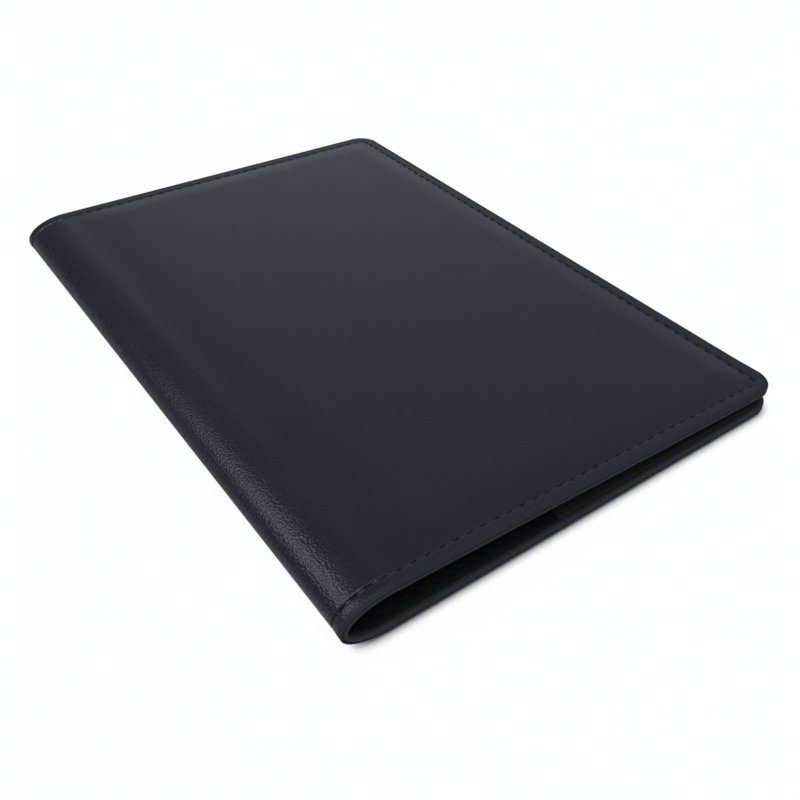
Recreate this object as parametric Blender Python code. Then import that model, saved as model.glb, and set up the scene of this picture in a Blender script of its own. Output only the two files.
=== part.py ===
"""A passport-size travel document holder, lying closed: two padded leather leaves joined by a soft round fold.

Metres. X runs from the fold (-X) to the free edges (+X), Y runs along the fold, and Z is up. The back leaf
lies on the plane z = 0, and the origin is under the middle of the closed holder.

Each leaf is a stack of thin sheets. A sheet's place in the stack is its depth: the distance inwards from the
outer surface of the sewn border. The leather over the padding stands proud of that border, at a depth below 0.
"""

import math
from dataclasses import dataclass

import bmesh
import bpy
from mathutils import Vector

MM = 0.001

# Outside of the closed holder
HOLDER_WIDTH = 100 * MM
HOLDER_LENGTH = 146 * MM
FOLD_HEIGHT = 9.3 * MM
FOLD_DEPTH = 9 * MM
CORNER_RADIUS = 5 * MM

# Sheet thicknesses, and the glue line between two sheets
LEATHER = 0.65 * MM
FOAM = 0.8 * MM
BOARD = 0.4 * MM
LINING = 0.25 * MM
POCKET = 0.25 * MM
GLUE_LINE = 0.05 * MM

# Border of a leaf: the leather is turned in over itself, sewn, and rounded at its rim
HEM_WIDTH = 5 * MM
HEM_STEP = 0.3 * MM
RIM_WIDTH = 0.35 * MM
RIM_DROP = 0.25 * MM
STITCH_INSET = 2.8 * MM
THREAD_DIAMETER = 0.4 * MM
STITCH_TO_PADDING = 0.4 * MM

# Padding: how far it takes to rise from the border, and to run out again beside the fold
PADDING_ROLL = 6.5 * MM
FOLD_REINFORCEMENT = 2 * MM
FOLD_RUN_OUT = 12 * MM
PADDING_CLEARANCE = 0.5 * MM

# Lining and pockets, measured from the rim of the leather, the fold or the near end of the holder
LINING_INSET = 0.8 * MM
SLEEVE_WIDTH = 55 * MM
PASS_POCKET_LENGTH = 122 * MM
FIRST_SLOT_LENGTH = 45 * MM
SLOT_STEP = 13 * MM
SLOT_DEPTH = 44 * MM
SLOT_COUNT = 3
POCKET_FROM_FOLD = 1.5 * MM
MOUTH_GAP = 0.3 * MM

# Fold: the leather bends along five lines, so it is four strips with a line of turning between each two
TURNING_ANGLE = math.radians(40)
TURNING_GAP = 0.3 * MM
THREAD_END = 0.6 * MM

# Fineness of the curved surfaces
ARC_STEPS = 5
ROLL_STEPS = 5
RUN_OUT_STEPS = 3
STRIP_STEPS = 6

HALF_LENGTH = HOLDER_LENGTH / 2
HEM = 2 * LEATHER
THREAD_RADIUS = THREAD_DIAMETER / 2
PADDING_START = STITCH_INSET + THREAD_RADIUS + STITCH_TO_PADDING
PADDING_FULL = PADDING_START + PADDING_ROLL
PADDING_INSET = HEM_WIDTH + HEM_STEP + PADDING_CLEARANCE
LINING_DEPTH = HEM + GLUE_LINE
BOARD_DEPTH = HEM - BOARD
FOAM_DEPTH = BOARD_DEPTH - GLUE_LINE
CROWN = FOAM + BOARD + 2 * GLUE_LINE - LEATHER
POCKET_LAYER = POCKET + GLUE_LINE
POCKET_DEPTH = LINING_DEPTH + LINING + GLUE_LINE

# The two free edges close on one sleeve, one long pocket and the card slots, less the gap that stays open
EDGE_HEIGHT = 2 * (LINING_DEPTH + LINING) + (2 + SLOT_COUNT) * POCKET_LAYER + MOUTH_GAP
FOLD_X = FOLD_DEPTH - HOLDER_WIDTH / 2
FOLD_RISE = FOLD_HEIGHT / 2
CLOSING_SLOPE = math.atan((FOLD_HEIGHT - EDGE_HEIGHT) / (HOLDER_WIDTH - FOLD_DEPTH))
TOP_ANGLE = math.pi / 2 + math.atan(math.tan(CLOSING_SLOPE) * FOLD_DEPTH / FOLD_RISE)
TURNING_LINES = (-math.pi / 2, -TURNING_ANGLE, 0.0, TURNING_ANGLE, TOP_ANGLE)


def fold_point(angle, y, depth):
    """Point of the fold, whose outer section is half an ellipse: -90 degrees is its bottom, 0 its nose."""
    normal = Vector((-FOLD_RISE * math.cos(angle), 0, FOLD_DEPTH * math.sin(angle))).normalized()
    centre = Vector((FOLD_X, y, CROWN + FOLD_RISE))
    surface = Vector((-FOLD_DEPTH * math.cos(angle), 0, FOLD_RISE * math.sin(angle)))
    return centre + surface - normal * depth


def fold_angle_step(angle, distance):
    """The angle that covers this distance along the fold's outer section."""
    return distance / math.hypot(FOLD_DEPTH * math.sin(angle), FOLD_RISE * math.cos(angle))


@dataclass
class Leaf:
    """One cover of the holder: where it meets the fold, and the directions away from the fold and outwards."""

    name: str
    root: Vector
    along: Vector
    outward: Vector

    @property
    def run(self):
        """Length from the fold to the free edge."""
        return (HOLDER_WIDTH / 2 - self.root.x) / self.along.x

    def point(self, place, y, depth):
        """Point of this leaf, at a place along it from the fold."""
        return self.root + self.along * place + Vector((0, y, 0)) - self.outward * depth


def back_leaf():
    return Leaf("back", fold_point(TURNING_LINES[0], 0, 0), Vector((1, 0, 0)), Vector((0, 0, -1)))


def front_leaf():
    along = Vector((math.cos(CLOSING_SLOPE), 0, -math.sin(CLOSING_SLOPE)))
    outward = Vector((math.sin(CLOSING_SLOPE), 0, math.cos(CLOSING_SLOPE)))
    return Leaf("front", fold_point(TURNING_LINES[-1], 0, 0), along, outward)


def material(name, colour, roughness):
    made = bpy.data.materials.new(name)
    made.use_nodes = True
    shader = made.node_tree.nodes["Principled BSDF"]
    shader.inputs["Base Color"].default_value = (*colour, 1)
    shader.inputs["Roughness"].default_value = roughness
    shader.inputs["Metallic"].default_value = 0
    return made


def between(low, high, steps):
    """Evenly spaced values from low to high, both included."""
    return [low + (high - low) * step / steps for step in range(steps + 1)]


def ascending(values):
    """The values in order, without any that lies on the one before it."""
    kept = []
    for value in sorted(values):
        if not kept or value - kept[-1] > GLUE_LINE:
            kept.append(value)
    return kept


def setback(from_end, radius):
    """How far the round corner draws the free edge back, at this distance from the end of the sheet."""
    if from_end >= radius:
        return 0.0
    return radius - math.sqrt(max(0.0, radius**2 - (radius - from_end) ** 2))


def corner_rows(inset):
    """Distances from the end of a sheet, inset from the rim, that follow its round corner."""
    radius = max(CORNER_RADIUS - inset, 0)
    return [radius * (1 - math.cos(angle)) for angle in between(0, math.pi / 2, ARC_STEPS)]


def rise(from_rim):
    """Share of the padding's full height at this distance from the rim: a pillow's edge."""
    share = min(max((from_rim - PADDING_START) / PADDING_ROLL, 0), 1)
    return 1 - (1 - share) ** 2


def run_out(from_fold):
    """Share of the padding's full height at this distance from the fold: a smooth run-out."""
    share = min(max(from_fold / FOLD_RUN_OUT, 0), 1)
    return share * share * (3 - 2 * share)


def crown(leaf, place, y):
    """How far the leather stands proud of the border."""
    return CROWN * rise(leaf.run - place) * rise(HALF_LENGTH - abs(y)) * run_out(place)


def sheet(name, finish, carrier, rows, columns, outer, inner, point):
    """Closed sheet: a grid laid over its outer face and extruded to its inner face.

    rows are places along the fold, columns(y) gives as many places in each row, outer and inner give the
    depth of the two faces, and point turns a place, a row and a depth into a position.
    """
    last_column = len(columns(rows[0])) - 1
    last_row = len(rows) - 1
    shell = bmesh.new()
    bmesh.ops.create_grid(shell, x_segments=last_column, y_segments=last_row, size=0.5)
    extruded = bmesh.ops.extrude_face_region(shell, geom=shell.faces[:])
    inner_face = {item for item in extruded["geom"] if isinstance(item, bmesh.types.BMVert)}
    for vertex in shell.verts:
        y = rows[round((vertex.co.y + 0.5) * last_row)]
        place = columns(y)[round((vertex.co.x + 0.5) * last_column)]
        depth = inner(place, y) if vertex in inner_face else outer(place, y)
        vertex.co = point(place, y, depth) - carrier.matrix_world.translation
    bmesh.ops.recalc_face_normals(shell, faces=shell.faces[:])
    mesh = bpy.data.meshes.new(name)
    shell.to_mesh(mesh)
    shell.free()
    mesh.materials.append(finish)
    return add_to(carrier, name, mesh)


def add_to(carrier, name, data):
    """Object of this mesh or curve, parented to the empty that carries it."""
    made = bpy.data.objects.new(name, data)
    bpy.context.collection.objects.link(made)
    made.parent = carrier
    return made


def thread(name, finish, carrier, points):
    """Sewing thread along the points."""
    curve = bpy.data.curves.new(name, "CURVE")
    curve.dimensions = "3D"
    curve.bevel_depth = THREAD_RADIUS
    curve.bevel_resolution = 1
    curve.use_fill_caps = True
    spline = curve.splines.new("POLY")
    spline.points.add(len(points) - 1)
    for knot, place in zip(spline.points, points):
        knot.co = (*(place - carrier.matrix_world.translation), 1)
    curve.materials.append(finish)
    return add_to(carrier, name, curve)


def leather_panel(leaf, finish, carrier):
    """Outer leather of a leaf: one thickness over the padding, turned in to two at its borders."""
    edge = [0, RIM_WIDTH, HEM_WIDTH, HEM_WIDTH + HEM_STEP, PADDING_INSET]
    edge += between(PADDING_START, PADDING_FULL, ROLL_STEPS)
    from_end = ascending(edge + corner_rows(0))
    rows = ascending([HALF_LENGTH - d for d in from_end] + [0] + [d - HALF_LENGTH for d in from_end])
    fold_side = [TURNING_GAP / 2, FOLD_REINFORCEMENT, FOLD_REINFORCEMENT + HEM_STEP]
    fold_side += between(FOLD_REINFORCEMENT + PADDING_CLEARANCE, FOLD_RUN_OUT, RUN_OUT_STEPS)
    places = ascending(fold_side + [leaf.run - d for d in edge])

    def columns(y):
        back = setback(HALF_LENGTH - abs(y), CORNER_RADIUS)
        return [p - back * max(0, 1 - (leaf.run - p) / PADDING_FULL) for p in places]

    def at_rim(place, y):
        end = HALF_LENGTH - abs(y)
        from_rim = leaf.run - setback(end, CORNER_RADIUS) - place
        return min(end, from_rim) < RIM_WIDTH / 2

    def outer(place, y):
        return -crown(leaf, place, y) + RIM_DROP * at_rim(place, y)

    def inner(place, y):
        from_rim = min(leaf.run - place, HALF_LENGTH - abs(y))
        turned_in = from_rim < HEM_WIDTH + HEM_STEP / 2
        if turned_in or place < FOLD_REINFORCEMENT + HEM_STEP / 2:
            return HEM - RIM_DROP * at_rim(place, y)
        return outer(place, y) + LEATHER

    sheet(f"{leaf.name}_leather_panel", finish, carrier, rows, columns, outer, inner, leaf.point)


def foam_pad(leaf, finish, carrier):
    """Padding that fills the leather's crown, down to the stiffener board."""
    from_rim = ascending([PADDING_INSET] + [
        d for d in between(PADDING_START, PADDING_FULL, ROLL_STEPS) if d > PADDING_INSET
    ])
    rows = ascending([HALF_LENGTH - d for d in from_rim] + [0] + [d - HALF_LENGTH for d in from_rim])
    start = FOLD_REINFORCEMENT + HEM_STEP + PADDING_CLEARANCE
    fold_side = between(FOLD_REINFORCEMENT + PADDING_CLEARANCE, FOLD_RUN_OUT, RUN_OUT_STEPS)
    places = ascending([start] + [p for p in fold_side if p > start] + [leaf.run - d for d in from_rim])

    def outer(place, y):
        return LEATHER + GLUE_LINE - crown(leaf, place, y)

    sheet(
        f"{leaf.name}_foam_pad", finish, carrier, rows, lambda y: places,
        outer, lambda place, y: FOAM_DEPTH, leaf.point,
    )


def panel(name, finish, carrier, leaf, depth, thickness, inset, x_span, y_span):
    """Flat sheet inside a leaf, between two places along the leaf and two rows, round at the leaf's corners."""
    radius = max(CORNER_RADIUS - inset, 0)
    end = HALF_LENGTH - inset
    free_edge = leaf.run - inset
    arc = [end - d for d in corner_rows(inset)]
    inside = [y for y in arc + [-y for y in arc] if y_span[0] < y < y_span[1]]
    rows = ascending([*y_span, *inside])
    low, high = x_span
    places = [low, high - 2 * CORNER_RADIUS, high]

    def columns(y):
        back = setback(end - abs(y), radius) if high >= free_edge else 0
        return [*places[:2], places[2] - back]

    sheet(
        name, finish, carrier, rows, columns,
        lambda place, y: depth, lambda place, y: depth + thickness, leaf.point,
    )


def stiffener_board(leaf, finish, carrier):
    start = FOLD_REINFORCEMENT + HEM_STEP + PADDING_CLEARANCE
    end = HALF_LENGTH - PADDING_INSET
    panel(
        f"{leaf.name}_stiffener_board", finish, carrier, leaf, BOARD_DEPTH, BOARD, PADDING_INSET,
        (start, leaf.run - PADDING_INSET), (-end, end),
    )


def lining(leaf, finish, carrier):
    end = HALF_LENGTH - LINING_INSET
    panel(
        f"{leaf.name}_lining", finish, carrier, leaf, LINING_DEPTH, LINING, LINING_INSET,
        (TURNING_GAP / 2, leaf.run - LINING_INSET), (-end, end),
    )


def passport_sleeve(leaf, finish, carrier):
    """Sleeve for a passport's back cover, sewn on three sides and open towards the fold."""
    end = HALF_LENGTH - LINING_INSET
    rim = leaf.run - LINING_INSET
    panel(
        "passport_sleeve", finish, carrier, leaf, POCKET_DEPTH, POCKET, LINING_INSET,
        (rim - SLEEVE_WIDTH, rim), (-end, end),
    )


def boarding_pass_pocket(leaf, finish, carrier):
    """Long pocket behind the card slots, open towards the far end."""
    end = HALF_LENGTH - LINING_INSET
    rim = leaf.run - LINING_INSET
    panel(
        "boarding_pass_pocket", finish, carrier, leaf, POCKET_DEPTH, POCKET, LINING_INSET,
        (POCKET_FROM_FOLD, rim), (-end, PASS_POCKET_LENGTH - end),
    )


def card_slots(leaf, finish, carrier):
    """Stepped card slots: each lies over the one whose mouth is farther from the near end."""
    end = HALF_LENGTH - LINING_INSET
    rim = leaf.run - LINING_INSET
    for slot in range(SLOT_COUNT):
        mouth = FIRST_SLOT_LENGTH + SLOT_STEP * slot - end
        layer = SLOT_COUNT - slot
        panel(
            f"card_slot_{slot + 1}", finish, carrier, leaf, POCKET_DEPTH + layer * POCKET_LAYER, POCKET,
            LINING_INSET, (POCKET_FROM_FOLD, rim), (max(-end, mouth - SLOT_DEPTH), mouth),
        )


def edge_stitching(leaf, finish, carrier):
    """Seam that runs round the three free sides of a leaf."""
    radius = CORNER_RADIUS - STITCH_INSET
    corner_x = leaf.run - CORNER_RADIUS
    corner_y = HALF_LENGTH - CORNER_RADIUS
    depth = -GLUE_LINE - THREAD_RADIUS
    far_side = [leaf.point(THREAD_END, HALF_LENGTH - STITCH_INSET, depth)]
    far_side += [
        leaf.point(corner_x + radius * math.sin(angle), corner_y + radius * math.cos(angle), depth)
        for angle in between(0, math.pi / 2, ARC_STEPS)
    ]
    near_side = [Vector((place.x, -place.y, place.z)) for place in reversed(far_side)]
    thread(f"{leaf.name}_edge_stitching", finish, carrier, far_side + near_side)


def fold_strip(number, leather, lining_cloth, sewing, carrier):
    """One strip of the fold: its leather, its lining and the seam across each of its ends."""
    low, high = TURNING_LINES[number - 1], TURNING_LINES[number]
    first = low + fold_angle_step(low, TURNING_GAP / 2)
    last = high - fold_angle_step(high, TURNING_GAP / 2)
    angles = between(first, last, STRIP_STEPS)
    rim_rows = [-HALF_LENGTH, RIM_WIDTH - HALF_LENGTH, HALF_LENGTH - RIM_WIDTH, HALF_LENGTH]

    def drop(y):
        return RIM_DROP * (HALF_LENGTH - abs(y) < RIM_WIDTH / 2)

    sheet(
        f"fold_leather_{number}", leather, carrier, rim_rows, lambda y: angles,
        lambda angle, y: drop(y), lambda angle, y: HEM - drop(y), fold_point,
    )
    end = HALF_LENGTH - LINING_INSET
    sheet(
        f"fold_lining_{number}", lining_cloth, carrier, [-end, end], lambda y: angles,
        lambda angle, y: LINING_DEPTH, lambda angle, y: LINING_DEPTH + LINING, fold_point,
    )
    seam = between(low + fold_angle_step(low, THREAD_END), high - fold_angle_step(high, THREAD_END), STRIP_STEPS)
    for side, y in (("near", STITCH_INSET - HALF_LENGTH), ("far", HALF_LENGTH - STITCH_INSET)):
        points = [fold_point(angle, y, -GLUE_LINE - THREAD_RADIUS) for angle in seam]
        thread(f"fold_stitching_{side}_{number}", sewing, carrier, points)


def turning_line(number, angle, previous):
    """Empty on a line of turning: what lies beyond it turns about its Y axis, with the lines after it."""
    made = bpy.data.objects.new(f"turning_line_{number}", None)
    made.empty_display_size = FOLD_DEPTH
    bpy.context.collection.objects.link(made)
    made.parent = previous
    made.location = fold_point(angle, 0, 0) - previous.matrix_world.translation
    bpy.context.view_layer.update()
    return made


def build():
    for old in list(bpy.data.objects):
        bpy.data.objects.remove(old, do_unlink=True)

    outer_leather = material("outer_leather", (0.012, 0.013, 0.016), 0.42)
    pocket_leather = material("pocket_leather", (0.014, 0.015, 0.018), 0.5)
    lining_cloth = material("lining_cloth", (0.01, 0.01, 0.012), 0.85)
    padding = material("padding_foam", (0.16, 0.16, 0.17), 0.9)
    grey_board = material("stiffener_board", (0.3, 0.28, 0.25), 0.85)
    sewing = material("sewing_thread", (0.01, 0.01, 0.012), 0.6)

    ground = bpy.data.objects.new("back_cover", None)
    bpy.context.collection.objects.link(ground)
    carriers = [ground]
    for number, angle in enumerate(TURNING_LINES, start=1):
        carriers.append(turning_line(number, angle, carriers[-1]))

    back, front = back_leaf(), front_leaf()
    for leaf, carrier in ((back, ground), (front, carriers[-1])):
        leather_panel(leaf, outer_leather, carrier)
        foam_pad(leaf, padding, carrier)
        stiffener_board(leaf, grey_board, carrier)
        lining(leaf, lining_cloth, carrier)
        edge_stitching(leaf, sewing, carrier)
    passport_sleeve(back, pocket_leather, ground)
    boarding_pass_pocket(front, pocket_leather, carriers[-1])
    card_slots(front, pocket_leather, carriers[-1])
    for number in range(1, len(TURNING_LINES)):
        fold_strip(number, outer_leather, lining_cloth, sewing, carriers[number])


build()
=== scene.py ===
"""The looks of a travel document holder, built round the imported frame.

Every soft piece is cut and shaped flat, as on a bench, and then folded round the holder's section.
Flat, X is the distance along the section from the nose of the fold (negative on the back leaf,
positive on the front leaf), Y runs along the fold, and Z is the height above the outer surface of
the sewn border.
"""

import logging
import math
from contextlib import contextmanager
from dataclasses import dataclass
from enum import Enum
from typing import Callable, Iterator, Sequence

import bpy
import numpy as np
from mathutils import Euler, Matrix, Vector


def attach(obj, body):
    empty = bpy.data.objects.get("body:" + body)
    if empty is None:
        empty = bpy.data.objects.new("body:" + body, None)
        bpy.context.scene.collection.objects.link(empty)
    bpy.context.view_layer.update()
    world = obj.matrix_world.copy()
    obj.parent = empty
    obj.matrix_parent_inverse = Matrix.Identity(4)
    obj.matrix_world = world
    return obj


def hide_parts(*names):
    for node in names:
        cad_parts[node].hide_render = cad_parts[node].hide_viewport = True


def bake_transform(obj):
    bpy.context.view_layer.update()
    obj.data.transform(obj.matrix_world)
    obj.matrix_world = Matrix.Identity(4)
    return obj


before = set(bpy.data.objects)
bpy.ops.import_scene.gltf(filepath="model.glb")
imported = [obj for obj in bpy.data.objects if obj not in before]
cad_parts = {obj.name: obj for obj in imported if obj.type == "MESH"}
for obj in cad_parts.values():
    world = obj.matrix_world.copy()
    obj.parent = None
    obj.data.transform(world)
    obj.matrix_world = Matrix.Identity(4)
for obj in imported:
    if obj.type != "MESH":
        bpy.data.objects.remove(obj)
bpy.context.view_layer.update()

log = logging.getLogger("document_holder")
MM = 0.001
TINY = 1e-9
UV_NAME = "flat_cut"
RIM_ATTRIBUTE = "from_rim"
PHASE_ATTRIBUTE = "stitch_phase"
INNER_FACE = -1.0
BETWEEN_STITCHES = 0.5
SMOOTHED_UP_TO = math.radians(38)

# Least distance between two lines of a mesh, and between a line and a cut across the fold
LINES_APART = 0.02 * MM
FINE_LINES_APART = 0.012 * MM
LINES_FROM_CUT = 0.06 * MM
CUT_TOLERANCE = 0.001 * MM


class Side(Enum):
    """The two covers of the holder."""

    BACK = "back"
    FRONT = "front"


@dataclass(frozen=True)
class HolderSizes:
    """Driving dimensions of the holder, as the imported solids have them, in metres."""

    width: float = 100 * MM
    length: float = 146 * MM
    fold_height: float = 9.3 * MM
    fold_depth: float = 9 * MM
    corner_radius: float = 5 * MM
    leather: float = 0.65 * MM
    foam: float = 0.8 * MM
    board: float = 0.4 * MM
    lining: float = 0.25 * MM
    pocket: float = 0.25 * MM
    glue_line: float = 0.05 * MM
    hem_width: float = 5 * MM
    hem_step: float = 0.3 * MM
    stitch_inset: float = 2.8 * MM
    stitch_pitch: float = 2.75 * MM
    thread: float = 0.4 * MM
    stitch_to_padding: float = 0.4 * MM
    padding_roll: float = 6.5 * MM
    fold_reinforcement: float = 2 * MM
    fold_run_out: float = 12 * MM
    padding_clearance: float = 0.5 * MM
    lining_inset: float = 0.8 * MM
    pocket_from_fold: float = 1.5 * MM
    sleeve_width: float = 55 * MM
    pass_pocket_length: float = 122 * MM
    first_slot_length: float = 45 * MM
    slot_step: float = 13 * MM
    slot_depth: float = 44 * MM
    slot_count: int = 3
    mouth_gap: float = 0.3 * MM
    turning_angle: float = math.radians(40)

    @property
    def hem(self) -> float:
        """Two thicknesses of leather, where it is turned in."""
        return 2 * self.leather

    @property
    def padding_start(self) -> float:
        """Distance from the rim at which the padding begins to rise."""
        return self.stitch_inset + self.thread / 2 + self.stitch_to_padding

    @property
    def padding_inset(self) -> float:
        """Distance from the rim to the foam and the board."""
        return self.hem_width + self.hem_step + self.padding_clearance

    @property
    def padding_from_fold(self) -> float:
        """Distance from the fold to the foam and the board."""
        return self.fold_reinforcement + self.hem_step + self.padding_clearance

    @property
    def crown(self) -> float:
        """How far the padded leather stands proud of the sewn border."""
        return self.foam + self.board + 2 * self.glue_line - self.leather

    @property
    def lining_depth(self) -> float:
        """Depth of the lining's glued face."""
        return self.hem + self.glue_line

    @property
    def foam_depth(self) -> float:
        """Depth of the foam's face on the board."""
        return self.hem - self.board - self.glue_line

    @property
    def pocket_layer(self) -> float:
        """Height that one pocket adds to the stack."""
        return self.pocket + self.glue_line

    @property
    def pocket_depth(self) -> float:
        """Depth of the first pocket's face on the lining."""
        return self.lining_depth + self.lining + self.glue_line

    @property
    def edge_height(self) -> float:
        """Height over both borders at the free edges."""
        layers = 2 + self.slot_count
        return 2 * (self.lining_depth + self.lining) + layers * self.pocket_layer + self.mouth_gap

    @property
    def closing_slope(self) -> float:
        """Angle between the two closed leaves."""
        return math.atan((self.fold_height - self.edge_height) / (self.width - self.fold_depth))


SIZES = HolderSizes()


class FoldedSection:
    """The outer section of the closed holder, and the way from the flat cut to it."""

    TABLE_STEPS = 6000
    HEADING_STEP = 0.01 * MM

    def __init__(self, sizes: HolderSizes) -> None:
        """Measures the half ellipse of the fold along its length.

        Args:
            sizes: Driving dimensions of the holder.
        """
        self.sizes = sizes
        self.rise = sizes.fold_height / 2
        self.fold_x = sizes.fold_depth - sizes.width / 2
        spread = math.tan(sizes.closing_slope) * sizes.fold_depth / self.rise
        self.top_angle = math.pi / 2 + math.atan(spread)
        self.angles = np.linspace(-math.pi / 2, self.top_angle, self.TABLE_STEPS)
        x = -sizes.fold_depth * np.cos(self.angles)
        z = self.rise * np.sin(self.angles)
        runs = np.concatenate([[0], np.cumsum(np.hypot(np.diff(x), np.diff(z)))])
        self.runs = runs - np.interp(0, self.angles, runs)
        top_x = self.fold_x + x[-1]
        self.front_run = (sizes.width / 2 - top_x) / math.cos(sizes.closing_slope)
        self.back_run = sizes.width / 2 - self.fold_x

    @property
    def back_root(self) -> float:
        """Place where the back leaf meets the fold."""
        return float(self.runs[0])

    @property
    def front_root(self) -> float:
        """Place where the front leaf meets the fold."""
        return float(self.runs[-1])

    @property
    def low(self) -> float:
        """Place of the back leaf's free edge."""
        return self.back_root - self.back_run

    @property
    def high(self) -> float:
        """Place of the front leaf's free edge."""
        return self.front_root + self.front_run

    def place_of_angle(self, angle: float) -> float:
        """Place along the section of an angle of the ellipse."""
        return float(np.interp(angle, self.angles, self.runs))

    def fold_points(self, flat: np.ndarray) -> np.ndarray:
        """Folds flat points round the section.

        Args:
            flat: Rows of place, Y and height above the border.

        Returns:
            Rows of X, Y and Z in the holder's frame.
        """
        place, along, height = flat.T
        angle = np.interp(place, self.runs, self.angles)
        normal_x = -self.rise * np.cos(angle)
        normal_z = self.sizes.fold_depth * np.sin(angle)
        length = np.hypot(normal_x, normal_z)
        back = np.maximum(self.back_root - place, 0)
        front = np.maximum(place - self.front_root, 0)
        slope = self.sizes.closing_slope
        x = self.fold_x - self.sizes.fold_depth * np.cos(angle) + back + front * math.cos(slope)
        z = self.sizes.crown + self.rise * (1 + np.sin(angle)) - front * math.sin(slope)
        return np.column_stack([x + height * normal_x / length, along, z + height * normal_z / length])

    def point(self, place: float, height: float = 0.0) -> Vector:
        """Folded point in the middle of the holder's length."""
        return Vector(self.fold_points(np.array([[place, 0.0, height]]))[0])

    def heading(self, place: float) -> Vector:
        """Direction of the section at a place, towards the front leaf."""
        step = self.HEADING_STEP
        return (self.point(place + step) - self.point(place - step)).normalized()

    def from_fold(self, place: np.ndarray) -> np.ndarray:
        """Distance of places from the fold along their own leaf, and 0 on the fold."""
        return np.maximum(np.maximum(self.back_root - place, place - self.front_root), 0)

    def from_free_edge(self, place: np.ndarray) -> np.ndarray:
        """Distance of places from the nearer of the two free edges."""
        return np.minimum(self.high - place, place - self.low)

    def span(self, side: Side, from_fold: tuple[float, float]) -> tuple[float, float]:
        """Places of the two ends of a piece of one leaf, the lower first.

        Args:
            side: The leaf.
            from_fold: Distances of the two ends from the fold.

        Returns:
            The two places.
        """
        back = side is Side.BACK
        ends = [self.back_root - end if back else self.front_root + end for end in from_fold]
        return min(ends), max(ends)

    def run(self, side: Side) -> float:
        """Length of a leaf from the fold to its free edge."""
        return self.back_run if side is Side.BACK else self.front_run


SECTION = FoldedSection(SIZES)


@dataclass(frozen=True)
class FlatPlaces:
    """Where the vertices of a flat cut lie.

    Attributes:
        place: Place of each along the section, after its corners are rounded.
        along: Y of each, after its corners are rounded.
        from_rim: Distance of each from the holder's rim.
    """

    place: np.ndarray
    along: np.ndarray
    from_rim: np.ndarray


Heights = Callable[[FlatPlaces], np.ndarray]


def stepped(low: float, high: float, step: float) -> np.ndarray:
    """Evenly spaced values from low to high, no farther apart than a step.

    Args:
        low: First value.
        high: Last value.
        step: Largest spacing.

    Returns:
        The values, ends included.
    """
    return np.linspace(low, high, max(2, math.ceil((high - low) / step) + 1))


def merged(*groups: Sequence[float], apart: float = LINES_APART) -> np.ndarray:
    """One ascending line of values, without any that nearly repeats the one before.

    Args:
        groups: Values in any order.
        apart: Least distance between two values.

    Returns:
        The values kept.
    """
    kept: list[float] = []
    for value in np.sort(np.concatenate([np.asarray(group, float) for group in groups])):
        if not kept or value - kept[-1] > apart:
            kept.append(float(value))
    return np.array(kept)


def smooth_share(value: np.ndarray, low: float, high: float) -> np.ndarray:
    """Share from 0 at low to 1 at high, with soft ends."""
    share = np.clip((value - low) / (high - low), 0, 1)
    return share * share * (3 - 2 * share)


def soft_ridge(value: np.ndarray, centre: float, half_width: float) -> np.ndarray:
    """1 at a centre, falling with soft ends to 0 at half a width to each side."""
    return smooth_share(np.clip(1 - np.abs(value - centre) / half_width, 0, 1), 0, 1)


def rounding(from_rim: np.ndarray, radius: np.ndarray | float) -> np.ndarray:
    """How far a rounded rim falls away at a distance from it."""
    inside = np.clip(radius - from_rim, 0, radius)
    return radius - np.sqrt(radius**2 - inside**2)


def round_corners(
    place: np.ndarray, along: np.ndarray, inset: float, sunk: np.ndarray,
) -> tuple[np.ndarray, np.ndarray]:
    """Turns the square rings of a flat grid into rings with round corners.

    Args:
        place: Places along the section.
        along: Y of each vertex.
        inset: Distance of the piece's own rim from the holder's rim.
        sunk: How far each vertex goes in from its ring.

    Returns:
        The rounded places and Y.
    """
    radius = SIZES.corner_radius - inset
    high_side = place > 0
    from_end = np.where(high_side, SECTION.high - place, place - SECTION.low) - inset
    from_side = SIZES.length / 2 - np.abs(along) - inset
    ring = np.minimum(from_end, from_side)
    inside = (from_end < radius) & (from_side < radius)
    reach = np.maximum(radius - ring, TINY)
    turn = np.clip(1 - (np.maximum(from_end, from_side) - ring) / reach, 0, 1) * math.pi / 4
    near = radius - (reach - sunk) * np.cos(turn)
    far = radius - (reach - sunk) * np.sin(turn)
    end_first = from_end <= from_side
    new_end = np.where(inside, np.where(end_first, near, far), from_end + sunk * end_first) + inset
    new_side = np.where(inside, np.where(end_first, far, near), from_side + sunk * ~end_first) + inset
    new_place = np.where(high_side, SECTION.high - new_end, SECTION.low + new_end)
    return new_place, np.sign(along) * (SIZES.length / 2 - new_side)


def only(obj: bpy.types.Object) -> None:
    """Selects one object and nothing else.

    Args:
        obj: The object.
    """
    bpy.ops.object.select_all(action="DESELECT")
    obj.select_set(True)
    bpy.context.view_layer.objects.active = obj


@contextmanager
def editing(obj: bpy.types.Object, chosen: np.ndarray | None = None) -> Iterator[None]:
    """Edit mode on one object.

    Args:
        obj: The object.
        chosen: Whether each vertex is selected, or None for all of the mesh.

    Yields:
        Nothing, while the object is in edit mode.
    """
    only(obj)
    bpy.ops.object.mode_set(mode="EDIT")
    bpy.ops.mesh.select_all(action="SELECT" if chosen is None else "DESELECT")
    if chosen is not None:
        bpy.ops.object.mode_set(mode="OBJECT")
        obj.data.vertices.foreach_set("select", chosen)
        bpy.ops.object.mode_set(mode="EDIT")
    yield
    bpy.ops.object.mode_set(mode="OBJECT")


def turn_faces_out(obj: bpy.types.Object) -> None:
    """Turns all faces of a closed piece outwards."""
    with editing(obj):
        bpy.ops.mesh.normals_make_consistent(inside=False)


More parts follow.
